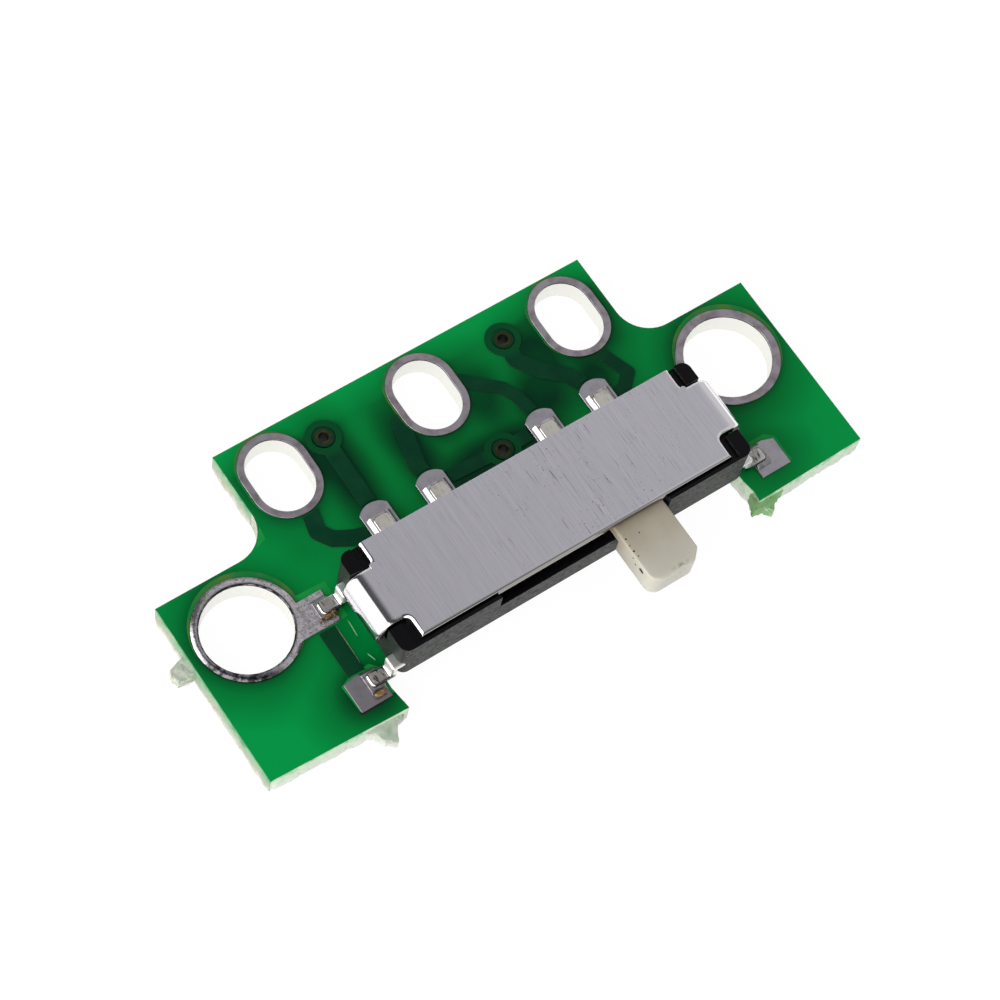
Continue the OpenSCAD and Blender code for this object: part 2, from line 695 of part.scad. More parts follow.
// solder beside a leg's foot, on the +X side of the switch's middle
module leg_solder_shape(y, x0, tip) {
    r = leg_tip_r;
    difference() {
        translate([x0, y, top + plate_t]) rotate([90, 0, 90])
            linear_extrude(tip + solder_w * 0.6 - x0) fillet_section(leg_w);
        block([x0 - 1, y - leg_w / 2, top], [tip - r, y + leg_w / 2, top + 1]);
        block([tip - 2 * r, y - leg_w / 2 + r, top], [tip, y + leg_w / 2 - r, top + 1]);
        for (s = [-1, 1]) translate([tip - r, y + s * (leg_w / 2 - r), top])
            cylinder(r = r, h = 1, $fn = 32);
    }
}

module leg_solder_node(side, y, tip) {
    x0 = leg_pad_x - leg_pad / 2 + solder_w / 6;
    color([0.78, 0.70, 0.58]) at_end(side) leg_solder_shape(y, x0, tip);
}

module solder_front_left() { leg_solder_node(-1, -leg_front, leg_tip); }
module solder_front_right() { leg_solder_node(1, -leg_front, leg_tip); }
module solder_back_left() { leg_solder_node(-1, -leg_back, leg_tip); }

// the right back foot has only the ring's edge to wet
module solder_back_right() {
    color([0.78, 0.70, 0.58]) difference() {
        at_end(1) leg_solder_shape(-leg_back, base_half + leg_step + solder_w / 6, leg_tip_near_post);
        block([0, -base_d, top],
            [min(post_pitch / 2 - post_ring_r, switch_x + leg_pad_x - leg_pad / 2), base_d, top + 1]);
        post_at(1) translate([0, 0, top]) cylinder(r = post_r_in + fit, h = 1);
    }
}

// plan of the knob in front of the base, its middle at x = 0
module knob_plan() {
    w = knob_w / 2;
    y1 = -base_front - knob_gap - knob_l;
    difference() {
        translate([-w, y1]) square([knob_w, knob_l]);
        translate([w, y1]) rotate(45) square(knob_chamfer * sqrt(2), center = true);
        difference() {
            translate([-w - knob_r, y1 - knob_r]) square(2 * knob_r);
            translate([-w + knob_r, y1 + knob_r]) circle(r = knob_r);
        }
    }
}

module slider() {
    w = knob_w / 2;
    pocket = leaf_l / 2 + leaf_gap;
    color([0.93, 0.91, 0.85]) translate([rest_x, 0, top]) difference() {
        union() {
            translate([0, 0, knob_low]) linear_extrude(knob_h) knob_plan();
            block([-w, -base_front - 2 * knob_gap, neck_low],
                [w, -carriage_front + knob_gap, slider_top]);
            block([-carriage_half, -carriage_front, carriage_low],
                [carriage_half, -carriage_back, slider_top]);
        }
        // pocket of the click spring
        block([-pocket, -leaf_seat, leaf_mid - leaf_h / 2 - leaf_gap],
            [pocket, 0, leaf_mid + leaf_h / 2 + leaf_gap]);
    }
}

// sheet bridge under the carriage, with two ridges that touch neighbouring lands
module contact_wiper() {
    h = pitch / 2;
    t = wiper_t;
    z0 = wiper_low;
    z1 = carriage_low;
    y = land_back - land_neck - land_d / 2 + wiper_w / 2;
    color([0.80, 0.62, 0.34]) translate([rest_x, y, top]) rotate([90, 0, 0])
        linear_extrude(wiper_w) polygon([
        [-h - 4.5 * t, z0 + 0.75 * t], [-h - 1.25 * t, z0], [-h + 1.25 * t, z0],
        [-3 * t, z1 - t], [3 * t, z1 - t], [h - 1.25 * t, z0], [h + 1.25 * t, z0],
        [h + 4.5 * t, z0 + 0.75 * t],
        [h + 4.5 * t, z0 + 1.75 * t], [h + 1.25 * t, z0 + t], [h - 1.25 * t, z0 + t],
        [3 * t, z1], [-3 * t, z1],
        [-h + 1.25 * t, z0 + t], [-h - 1.25 * t, z0 + t], [-h - 4.5 * t, z0 + 1.75 * t]]);
}

// leaf spring in the carriage's back, its crown at a click notch
module detent_leaf() {
    e = leaf_l / 2;
    t = leaf_t;
    c = click_r / 2;
    yt = -leaf_tip;
    ys = yt - leaf_rise / 2;
    ye = -leaf_seat;
    color([0.76, 0.74, 0.70]) translate([rest_x, 0, top + leaf_mid - leaf_h / 2])
        linear_extrude(leaf_h) polygon([
        [-e, ye], [-e + 3 * c, ye], [-3 * c, ys - t], [-c, yt - t], [c, yt - t], [3 * c, ys - t],
        [e - 3 * c, ye], [e, ye], [e, ye + t], [e - 3 * c, ye + t], [3.2 * c, ys], [1.2 * c, yt],
        [-1.2 * c, yt], [-3.2 * c, ys], [-e + 3 * c, ye + t], [-e, ye + t]]);
}

circuit_board();
left_post_ring();
right_post_ring();
pin_slot_left();
pin_slot_middle();
pin_slot_right();
via_left();
via_middle();
via_right();
terminal_pad_1();
terminal_pad_2();
terminal_pad_3();
terminal_pad_4();
leg_pad_front_left();
leg_pad_front_right();
copper_traces();
switch_base();
switch_cover();
terminal_1();
terminal_2();
terminal_3();
terminal_4();
leg_front_left();
leg_front_right();
leg_back_left();
leg_back_right();
solder_terminal_1();
solder_terminal_2();
solder_terminal_3();
solder_terminal_4();
solder_front_left();
solder_front_right();
solder_back_left();
solder_back_right();
slider();
contact_wiper();
detent_leaf();
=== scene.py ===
"""Looks, stage and camera for a slide switch on its own small circuit board.

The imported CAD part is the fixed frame. Sheet, plating and moulding get softened edges, the
laminate its torn fibres, the mask its openings, and every surface its own finish.
All lengths are metres in the CAD frame: X along the board, the knob towards -Y, Z up.
"""

import math

import bmesh
import bpy
from mathutils import Matrix, Vector, noise


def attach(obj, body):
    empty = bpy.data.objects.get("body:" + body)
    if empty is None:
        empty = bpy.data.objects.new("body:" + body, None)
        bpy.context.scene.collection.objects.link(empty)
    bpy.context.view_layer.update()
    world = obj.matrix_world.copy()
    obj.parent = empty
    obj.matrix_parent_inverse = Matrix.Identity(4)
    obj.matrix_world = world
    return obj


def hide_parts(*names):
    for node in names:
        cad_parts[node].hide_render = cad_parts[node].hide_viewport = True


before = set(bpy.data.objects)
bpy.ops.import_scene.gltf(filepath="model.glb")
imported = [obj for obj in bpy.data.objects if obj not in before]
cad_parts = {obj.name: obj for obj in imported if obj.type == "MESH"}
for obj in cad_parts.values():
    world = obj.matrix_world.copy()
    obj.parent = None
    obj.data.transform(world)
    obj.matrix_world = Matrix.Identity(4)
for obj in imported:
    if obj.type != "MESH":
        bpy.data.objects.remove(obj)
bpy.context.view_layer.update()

bl_info = {
    "name": "Board slide switch",
    "version": (1, 0, 0),
    "blender": (4, 5, 0),
    "location": "View3D > Sidebar > Switch",
    "description": "Dresses the packed slide switch and its board, and sets its studio",
    "category": "Object",
}

MM = 0.001
# Measures of the CAD part that the looks go by
BOARD_TOP = 0.6 * MM
POST_X = 6.57 * MM
RING_R = 1.25 * MM
BORE_R = 1.05 * MM
SLOT_PITCH = 3.96 * MM
SLOT_Y = 2.76 * MM
SLOT_HALF = (0.84 * MM, 1.09 * MM)
SLOT_LINING = 0.78 * MM
COVER_X = 0.37 * MM
FLAP_START = 4.25 * MM
VIAS = ((-2.62, 3.06), (0.71, 0.72), (2.29, 3.06))
# Merging, rounding and shading
MERGE_GAP = 0.0004 * MM
FLAT_ANGLE = math.radians(1.0)
SHARP_ANGLE = math.radians(28)
SMOOTH_ANGLE = math.radians(32)
BROAD_STEPS = 5
CIRCLE_STEPS = 72
# Mask: its shine, the thickness of what shows in its openings, how far these reach past and under
# the plating, and the share of their shift that goes to the side on rings and back on slots
MASK_SPECULAR = 0.07
MASK_SKIN = 0.006 * MM
OPENING_THICK = 0.7 * MASK_SKIN
SCRAPE_THICK = 1.2 * MASK_SKIN
PAD_SHADOW_THICK = 2 * MASK_SKIN
RING_MARGIN = 0.05 * MM
RING_UNDER = 0.08 * MM
SLOT_MARGIN = 0.02 * MM
SHIFT_SHARE = 0.6
# Torn laminate: strips along the sides and stubs
STRIP_LOW = 0.02 * MM
STRIP_STEP = 0.05 * MM
STRIP_ROWS = 9
STRIP_WALL = 0.03 * MM
STRIP_TAPER = 0.15 * MM
STRIP_SEED = 3.7
STUB_LOW = 0.11 * MM
STUB_THICK = 0.38 * MM
STUB_ROUGH = 0.035 * MM
STUB_SEED = 11.0
STUB_SEED_STEP = 5
COARSE_TEAR = 0.35 * MM
FINE_TEAR = 0.09 * MM
# Studio: floor, softboxes, the sky from left to right as place and strength, and the camera
FLOOR_HALF = 0.3
FLOOR_DROP = 0.004 * MM
FLOOR_WHITE = 1.06
PAPER_WHITE = 0.85
SOFTBOX_SIZE = (0.06, 0.04)
LEFT_SOFTBOX = (-0.062, 0.022, 0.026)
FRONT_FILL = (-0.03, -0.066, 0.02)
SKY_STOPS = ((0.0, 1.5), (0.295, 1.45), (0.34, 0.06), (0.54, 0.07), (0.66, 0.59), (1.0, 0.58))
SKY_TURN = 0.2
SKY_REACH = 1.02
SENSOR_WIDTH = 36.0
CAMERA_PLACE = (-0.022102, -0.019812, 0.061137)
CAMERA_RIGHT = Vector((0.8213, -0.5580, 0.1191))
CAMERA_DOWN = Vector((-0.4672, -0.7775, -0.4210))
CAMERA_AHEAD = Vector((0.3275, 0.2901, -0.8992))
# Painted shade in the mask round copper and beside the switch, where less light comes through the
# board: x, y, stretch in x and in y, radius, in millimetres
BACKLIGHT_SHADE_SPOTS = (
    (-6.57, 0.0, 1.0, 1.0, 1.1), (6.57, 0.0, 1.0, 1.0, 1.1),
    (-3.96, 2.76, 1.0, 0.77, 0.75), (0.0, 2.76, 1.0, 0.77, 0.75), (3.96, 2.76, 1.0, 0.77, 0.75),
    (-2.63, 2.0, 1.0, 0.25, 0.3), (-2.95, 2.45, 1.0, 0.6, 0.25), (-4.5, 1.0, 0.5, 0.5, -0.45),
    (-1.02, 1.9, 1.0, 0.4, 0.28), (1.0, 2.2, 0.8, 0.55, 0.28), (0.45, 0.7, 0.4, 1.0, 0.4),
    (2.75, 2.2, 1.0, 0.55, 0.35), (2.3, 1.5, 0.7, 0.7, 0.3), (3.6, 1.1, 0.8, 0.7, 0.25),
    (-5.09, -1.5, 1.0, 0.3, -0.1), (-5.09, -2.55, 1.0, 1.0, 0.45), (5.83, -2.55, 1.0, 1.0, 0.12),
)
# Torn sides of the board: start, end and the way each faces, in millimetres
TORN_SIDES = {
    "left_end_fibre": ((-8.0, 1.45), (-8.0, -3.22), (-1, 0)),
    "left_horn_fibre": ((-8.0, -3.22), (-4.54, -3.36), (0, -1)),
    "right_horn_fibre": ((5.03, -3.36), (8.0, -3.3), (0, -1)),
    "right_end_fibre": ((8.0, -3.3), (8.0, 1.45), (1, 0)),
    "tab_left_fibre": ((-5.0, 3.92), (-5.0, 2.3), (-1, 0)),
    "inner_horn_fibre_1": ((5.0, -2.3), (5.0, -2.76), (-1, 0)),
    "inner_horn_fibre_2": ((5.0, -2.76), (5.056, -3.108), (-0.987, -0.159)),
}
# Stubs left where the board was broken out of its panel: outlines in millimetres
TORN_STUBS = {
    "left_tag": [(-7.94, -0.27), (-8.2, -0.26), (-8.44, -0.23), (-8.49, -0.05), (-8.45, 0.1),
                 (-8.2, 0.18), (-7.94, 0.27)],
    "left_horn_tag": [(-4.64, -3.26), (-4.76, -3.46), (-4.92, -3.44), (-5.12, -3.86),
                      (-5.36, -3.72), (-5.48, -3.44), (-5.8, -3.26)],
    "right_horn_tag": [(5.02, -3.08), (4.84, -3.47), (5.1, -3.5), (5.23, -3.7), (5.4, -3.5),
                       (5.74, -3.38), (6.1, -3.1)],
}
# Openings of the mask round the leg pads and a chip at the fillet: outlines in millimetres
MASK_OPENINGS = {
    "left_back_pad_gap": [(-5.5, -0.86), (-4.85, -0.9), (-4.5, -0.86), (-4.5, 0.1), (-5.42, 0.13)],
    "left_front_pad_gap": [(-5.5, -2.9), (-4.62, -2.9), (-4.6, -2.2), (-4.74, -2.05), (-5.2, -2.07),
                           (-5.54, -2.2)],
    "right_front_pad_gap": [(5.5, -2.9), (6.3, -2.9), (6.3, -2.2), (6.1, -2.03), (5.7, -2.03),
                            (5.5, -2.1)],
    "left_fillet_chip": [(-5.02, 1.93), (-5.06, 1.62), (-5.36, 1.53), (-5.24, 1.67), (-5.1, 1.87)],
}
# Painted shadow along the near edge of the left front pad: a dark strip, in millimetres
PAD_SHADOW = [(-5.53, -2.985), (-5.1, -2.98), (-4.7, -2.955), (-4.72, -2.94), (-5.47, -2.94),
            (-5.53, -2.9)]
# Hairline scrapes: both ends and the width, in millimetres
SCRAPES = {
    "trace_edge_scrape": ((-4.87, -0.92), (-4.885, -2.04), 0.026),
    "short_scrape": ((-4.56, -0.94), (-4.59, -1.39), 0.014),
    "low_scrape": ((-4.63, -1.83), (-4.56, -2.06), 0.018),
}
# Flux drops beside the left feet: middle and half sizes in millimetres, and the seed of their shape
FLUX_Z = 0.68
FLUX_DROPS = {
    "left_back_flux": ([((-4.9, -0.68, FLUX_Z), (0.17, 0.08, 0.08)),
                        ((-4.75, -0.68, FLUX_Z), (0.1, 0.08, 0.09)),
                        ((-5.03, -0.68, FLUX_Z), (0.1, 0.07, 0.06))], 2.0),
    "left_front_flux": ([((-4.93, -2.78, FLUX_Z), (0.14, 0.08, 0.07)),
                         ((-4.82, -2.79, FLUX_Z), (0.08, 0.07, 0.06))], 6.0),
}
# Dirt in the pits of the knob's left side and top: middle and half sizes in millimetres
KNOB_SIDE_X = 1.312
KNOB_TOP_Z = 1.748
KNOB_PIT_SEED = 4.0
KNOB_PITS = [
    ((KNOB_SIDE_X, -3.63, 1.57), (0.012, 0.075, 0.055)),
    ((KNOB_SIDE_X, -3.42, 1.51), (0.01, 0.03, 0.02)),
    ((1.385, -2.88, KNOB_TOP_Z), (0.02, 0.026, 0.008)),
    ((1.372, -3.21, KNOB_TOP_Z), (0.026, 0.022, 0.008)),
    ((1.395, -3.353, KNOB_TOP_Z), (0.014, 0.02, 0.008)),
    ((1.737, -2.9, KNOB_TOP_Z), (0.018, 0.016, 0.008)),
    ((1.375, -3.05, KNOB_TOP_Z), (0.014, 0.018, 0.008)),
    ((KNOB_SIDE_X, -3.3, 1.62), (0.008, 0.02, 0.02)),
]


def linear(code):
    """Linear red, green and blue of an sRGB hex code."""
    values = [int(code[i:i + 2], 16) / 255 for i in (1, 3, 5)]
    return tuple(v / 12.92 if v <= 0.04045 else ((v + 0.055) / 1.055) ** 2.4 for v in values)


def per_mm(size):
    """Texture scale whose features are about size millimetres across."""
    return 1.0 / (size * MM)


def add(tree, kind, settings=None, links=None):
    """Add one node. Settings go to its sockets or else to the node; links feed its sockets."""
    made = tree.nodes.new(kind)
    for key, value in (settings or {}).items():
        if key == "stops":
            ramp = made.color_ramp.elements
            while len(ramp) < len(value):
                ramp.new(1.0)
            for stop, (place, colour) in zip(ramp, value):
                stop.position = place
                stop.color = (*colour, 1.0)
        elif isinstance(key, int) or key in made.inputs:
            socket = made.inputs[key]
            opaque = socket.type == "RGBA" and len(value) == 3
            socket.default_value = (*value, 1.0) if opaque else value
        else:
            setattr(made, key, value)
    for key, source in (links or {}).items():
        tree.links.new(source, made.inputs[key])
    return made


def new_finish(name, **constants):
    """A material with one Principled shader whose constant sockets are set by name. Returns it with
    its node tree, the shader and the object coordinates."""
    material = bpy.data.materials.new(name)
    material.use_nodes = True
    shader = material.node_tree.nodes["Principled BSDF"]
    for key, value in constants.items():
        socket = shader.inputs[key.replace("_", " ")]
        socket.default_value = (*value, 1.0) if socket.type == "RGBA" else value
    tree = material.node_tree
    return material, tree, shader, add(tree, "ShaderNodeTexCoord").outputs["Object"]


def grey(value):
    """A grey of one linear value."""
    return (value, value, value)


# Finishes


def solder_mask_on_laminate(look):
    """Green mask, slightly see-through, with painted light: it is painted glowing away from copper
    and towards the back edge, as light coming through the board, and painted shade leaves it deep
    green round the plating, beside the traces and beside the switch. The cut sides show pale glass
    fibre."""
    material, tree, shader, place = new_finish("solder_mask_on_glass_laminate", IOR=1.5,
                                               Specular_IOR_Level=MASK_SPECULAR)
    nearest = None
    for x, y, stretch_x, stretch_y, radius in BACKLIGHT_SHADE_SPOTS:
        away = add(tree, "ShaderNodeVectorMath", {"operation": "SUBTRACT", 1: (x * MM, y * MM, 0)},
                   {0: place})
        shaped = add(tree, "ShaderNodeVectorMath",
                     {"operation": "MULTIPLY", 1: (stretch_x, stretch_y, 0)},
                     {0: away.outputs[0]})
        reach = add(tree, "ShaderNodeVectorMath", {"operation": "LENGTH"}, {0: shaped.outputs[0]})
        gap = add(tree, "ShaderNodeMath", {"operation": "SUBTRACT", 1: radius * MM},
                  {0: reach.outputs["Value"]}).outputs[0]
        nearest = gap if nearest is None else add(
            tree, "ShaderNodeMath", {"operation": "SMOOTH_MIN", 2: 0.3 * MM},
            {0: nearest, 1: gap}).outputs[0]
    glow = add(tree, "ShaderNodeMapRange", {1: -0.05 * MM, 2: 2.4 * MM}, {0: nearest})
    clouds = add(tree, "ShaderNodeTexNoise", {"Scale": per_mm(2.5), "Detail": 2.0},
                 {"Vector": place})
    uneven = add(tree, "ShaderNodeMapRange", {1: 0.3, 2: 0.7, 3: -0.05, 4: 0.05},
                 {0: clouds.outputs[0]})
    glow = add(tree, "ShaderNodeMath", {"operation": "ADD"},
               {0: glow.outputs[0], 1: uneven.outputs[0]})
    back = add(tree, "ShaderNodeSeparateXYZ", links={0: place}).outputs[1]
    # Painted light: the mask grows brighter towards the back edge.
    rim = add(tree, "ShaderNodeMapRange", {1: 3.2 * MM, 2: 3.9 * MM, 4: 0.3}, {0: back})
    glow = add(tree, "ShaderNodeMath", {"operation": "ADD"},
               {0: glow.outputs[0], 1: rim.outputs[0]})
    mask = add(tree, "ShaderNodeValToRGB", {"stops": [
        (0.0, look.mask_deep_shade), (0.09, look.mask_shade), (0.2, look.mask_even),
        (0.55, look.mask_lit)]}, {0: glow.outputs[0]})
    grain = add(tree, "ShaderNodeTexNoise",
                {"Scale": per_mm(0.12), "Detail": 4.0, "Roughness": 0.7},
                {"Vector": place})
    fibre = add(tree, "ShaderNodeValToRGB", {"stops": [
        (0.2, look.fibre_shade), (0.38, look.fibre), (0.6, look.fibre_light)]},
        {0: grain.outputs[0]})
    height = add(tree, "ShaderNodeSeparateXYZ", links={0: place}).outputs[2]
    from_middle = add(tree, "ShaderNodeMath", {"operation": "SUBTRACT", 1: BOARD_TOP / 2},
                      {0: height})
    depth = add(tree, "ShaderNodeMath", {"operation": "ABSOLUTE"}, {0: from_middle.outputs[0]})
    skin = add(tree, "ShaderNodeMath", {"operation": "GREATER_THAN", 1: BOARD_TOP / 2 - 0.004 * MM},
               {0: depth.outputs[0]})
    colour = add(tree, "ShaderNodeMix", {"data_type": "RGBA"},
                 {0: skin.outputs[0], 6: fibre.outputs[0], 7: mask.outputs[0]})
    rough = add(tree, "ShaderNodeMapRange", {3: 0.75, 4: 0.32}, {0: skin.outputs[0]})
    tree.links.new(colour.outputs[2], shader.inputs["Base Color"])
    tree.links.new(rough.outputs[0], shader.inputs["Roughness"])
    return material


def nearest_via(tree, place):
    """Distance from the nearest via's middle on the board's top."""
    nearest = None
    for x, y in VIAS:
        away = add(tree, "ShaderNodeVectorMath",
                   {"operation": "SUBTRACT", 1: (x * MM, y * MM, BOARD_TOP)}, {0: place})
        reach = add(tree, "ShaderNodeVectorMath", {"operation": "LENGTH"},
                    {0: away.outputs[0]}).outputs["Value"]
        nearest = reach if nearest is None else add(
            tree, "ShaderNodeMath", {"operation": "MINIMUM"}, {0: nearest, 1: reach}).outputs[0]
    return nearest


def copper_under_mask(look):
    """Copper strips under the mask: deep green tops with brownish worn shoulders, and lands round
    the vias that are as green as the mask beside them."""
    material, tree, shader, place = new_finish("copper_under_mask", Roughness=0.35, IOR=1.5,
                                               Specular_IOR_Level=MASK_SPECULAR)
    up = add(tree, "ShaderNodeSeparateXYZ",
             links={0: add(tree, "ShaderNodeNewGeometry").outputs["Normal"]}).outputs[2]
    clouds = add(tree, "ShaderNodeTexNoise", {"Scale": per_mm(0.5), "Detail": 3.0},
                 {"Vector": place})
    top = add(tree, "ShaderNodeValToRGB", {"stops": [
        (0.35, look.trace), (0.7, look.trace_worn)]}, {0: clouds.outputs[0]})
    facing = add(tree, "ShaderNodeMath", {"operation": "GREATER_THAN", 1: 0.5}, {0: up})
    land = add(tree, "ShaderNodeMapRange", {1: 0.55 * MM, 2: 0.4 * MM, 4: 0.5},
               {0: nearest_via(tree, place)})
    greened = add(tree, "ShaderNodeMix", {"data_type": "RGBA", 7: look.mask_shade},
                  {0: land.outputs[0], 6: top.outputs[0]})
    colour = add(tree, "ShaderNodeMix", {"data_type": "RGBA", 6: look.trace_edge},
                 {0: facing.outputs[0], 7: greened.outputs[2]})
    tree.links.new(colour.outputs[2], shader.inputs["Base Color"])
    return material


def tin_plating(name, colour, dark, look, pit_size, pit_depth, roughness, burr=False):
    """Hot-dipped tin: grey metal with a lilac cast, with painted shade dark round its rim and a
    painted reflection of the white floor nearly white down a barrel. On the left round hole it is
    crowned, lumpy and pitted, darker in broken patches at the bore, and with a painted dark
    reflection in broken patches on its near side."""
    material, tree, shader, place = new_finish(name, Metallic=1.0)
    across = add(tree, "ShaderNodeSeparateXYZ",
                 links={0: add(tree, "ShaderNodeNewGeometry").outputs["Normal"]}).outputs[2]
    level = add(tree, "ShaderNodeMath", {"operation": "ABSOLUTE"}, {0: across})
    side = add(tree, "ShaderNodeMapRange", {1: 0.6, 2: 0.35}, {0: level.outputs[0]})
    where = add(tree, "ShaderNodeSeparateXYZ", links={0: place}).outputs
    below = add(tree, "ShaderNodeMath", {"operation": "LESS_THAN", 1: BOARD_TOP - 0.01 * MM},
                {0: where[2]})
    barrel = add(tree, "ShaderNodeMath", {"operation": "MULTIPLY"},
                 {0: side.outputs[0], 1: below.outputs[0]})
    # Painted shade: side faces above the board take the dark tin round the rim.
    rim = add(tree, "ShaderNodeMath", {"operation": "SUBTRACT"},
              {0: side.outputs[0], 1: barrel.outputs[0]})
    lumps = add(tree, "ShaderNodeTexNoise",
                {"Scale": per_mm(pit_size), "Detail": 5.0, "Roughness": 0.6},
                {"Vector": place})
    tone = add(tree, "ShaderNodeValToRGB", {"stops": [(0.32, dark), (0.56, colour)]},
               {0: lumps.outputs[0]}).outputs[0]
    smooth = add(tree, "ShaderNodeMapRange", {3: 0.6, 4: 0.02}, {0: barrel.outputs[0]})
    bump = add(tree, "ShaderNodeBump", {"Distance": pit_depth * MM},
               {"Strength": smooth.outputs[0], "Height": lumps.outputs[0]})
    if burr:
        away = add(tree, "ShaderNodeVectorMath", {"operation": "ADD", 1: (POST_X, 0, 0)},
                   {0: place})
        flat = add(tree, "ShaderNodeVectorMath", {"operation": "MULTIPLY", 1: (1, 1, 0)},
                   {0: away.outputs[0]})
        reach = add(tree, "ShaderNodeVectorMath", {"operation": "LENGTH"},
                    {0: flat.outputs[0]}).outputs["Value"]
        bore = add(tree, "ShaderNodeMapRange", {1: BORE_R + 0.07 * MM, 2: BORE_R + 0.02 * MM},
                   {0: reach})
        toward = add(tree, "ShaderNodeVectorMath",
                     {"operation": "DOT_PRODUCT", 1: (-0.66, -0.75, 0)}, {0: flat.outputs[0]})
        # Painted dark reflection on the ring's near side.
        near = add(tree, "ShaderNodeMapRange", {1: 0.72 * MM, 2: 1.0 * MM, 4: 0.95},
                   {0: toward.outputs["Value"]})
        dots = add(tree, "ShaderNodeTexNoise", {"Scale": per_mm(0.045), "Detail": 2.0},
                   {"Vector": place})
        pits = add(tree, "ShaderNodeMapRange", {1: 0.58, 2: 0.68, 4: 0.6}, {0: dots.outputs[0]})
        waves = add(tree, "ShaderNodeMapRange", {1: 0.36, 2: 0.54, 3: 0.3, 4: 1.0},
                    {0: lumps.outputs[0]})
        worst = add(tree, "ShaderNodeMath", {"operation": "MAXIMUM"},
                    {0: bore.outputs[0], 1: near.outputs[0]})
        broken = add(tree, "ShaderNodeMath", {"operation": "MULTIPLY"},
                     {0: worst.outputs[0], 1: waves.outputs[0]})
        marks = add(tree, "ShaderNodeMath", {"operation": "MAXIMUM"},
                    {0: broken.outputs[0], 1: pits.outputs[0]})
        tone = add(tree, "ShaderNodeMix", {"data_type": "RGBA", 7: look.tin_pits_and_shade},
                   {0: marks.outputs[0], 6: tone}).outputs[2]
        inner = add(tree, "ShaderNodeMapRange", {1: BORE_R - 0.08 * MM, 2: RING_R, 3: -1.0, 4: 1.0},
                    {0: reach})
        crown = add(tree, "ShaderNodeMath", {"operation": "MULTIPLY"},
                    {0: inner.outputs[0], 1: inner.outputs[0]})
        pad_way = add(tree, "ShaderNodeVectorMath",
                      {"operation": "DOT_PRODUCT", 1: (0.97, -0.25, 0)},
                      {0: flat.outputs[0]})
        joined = add(tree, "ShaderNodeMapRange", {1: 1.0 * MM, 2: 1.12 * MM, 3: 0.8, 4: 0.0},
                     {0: pad_way.outputs["Value"]})
        bump = add(tree, "ShaderNodeBump", {"Distance": 0.1 * MM, "invert": True},
                   {"Strength": joined.outputs[0], "Height": crown.outputs[0],
                    "Normal": bump.outputs[0]})
    rim_shaded = add(tree, "ShaderNodeMix", {"data_type": "RGBA", 7: look.tin_pits_and_shade},
                {0: rim.outputs[0], 6: tone})
    # Painted reflection: the barrel walls are painted nearly white, as the white floor seen in
    # them.
    barrel_reflected = add(tree, "ShaderNodeMix", {"data_type": "RGBA", 7: look.tin_barrel_reflection},
                {0: barrel.outputs[0], 6: rim_shaded.outputs[2]})
    rough = add(tree, "ShaderNodeMapRange", {3: roughness, 4: 0.5}, {0: barrel.outputs[0]})
    tree.links.new(barrel_reflected.outputs[2], shader.inputs["Base Color"])
    tree.links.new(rough.outputs[0], shader.inputs["Roughness"])
    tree.links.new(bump.outputs[0], shader.inputs["Normal"])
    return material


def oxidised_copper(look):
    """Bare via copper, dulled to an olive brown with darker blotches, with painted shade black down
    its hole.
    """
    material, tree, shader, place = new_finish("oxidised_copper", Metallic=0.2, Roughness=0.55,
                                               Specular_IOR_Level=0.12)
    up = add(tree, "ShaderNodeSeparateXYZ",
             links={0: add(tree, "ShaderNodeNewGeometry").outputs["Normal"]}).outputs[2]
    level = add(tree, "ShaderNodeMath", {"operation": "ABSOLUTE"}, {0: up})
    wall = add(tree, "ShaderNodeMapRange", {1: 0.6, 2: 0.3}, {0: level.outputs[0]})
    blot = add(tree, "ShaderNodeTexNoise", {"Scale": per_mm(0.12), "Detail": 4.0},
               {"Vector": place})
    shade = add(tree, "ShaderNodeValToRGB", {"stops": [(0.35, look.via_dark), (0.65, look.via)]},
                {0: blot.outputs[0]})
    outer = add(tree, "ShaderNodeMapRange", {1: 0.15 * MM, 2: 0.21 * MM, 4: 0.9},
                {0: nearest_via(tree, place)})
    rim = add(tree, "ShaderNodeMix", {"data_type": "RGBA", 7: look.trace},
              {0: outer.outputs[0], 6: shade.outputs[0]})
    colour = add(tree, "ShaderNodeMix", {"data_type": "RGBA", 7: look.via_hole_shade},
                 {0: wall.outputs[0], 6: rim.outputs[2]})
    tree.links.new(colour.outputs[2], shader.inputs["Base Color"])
    return material


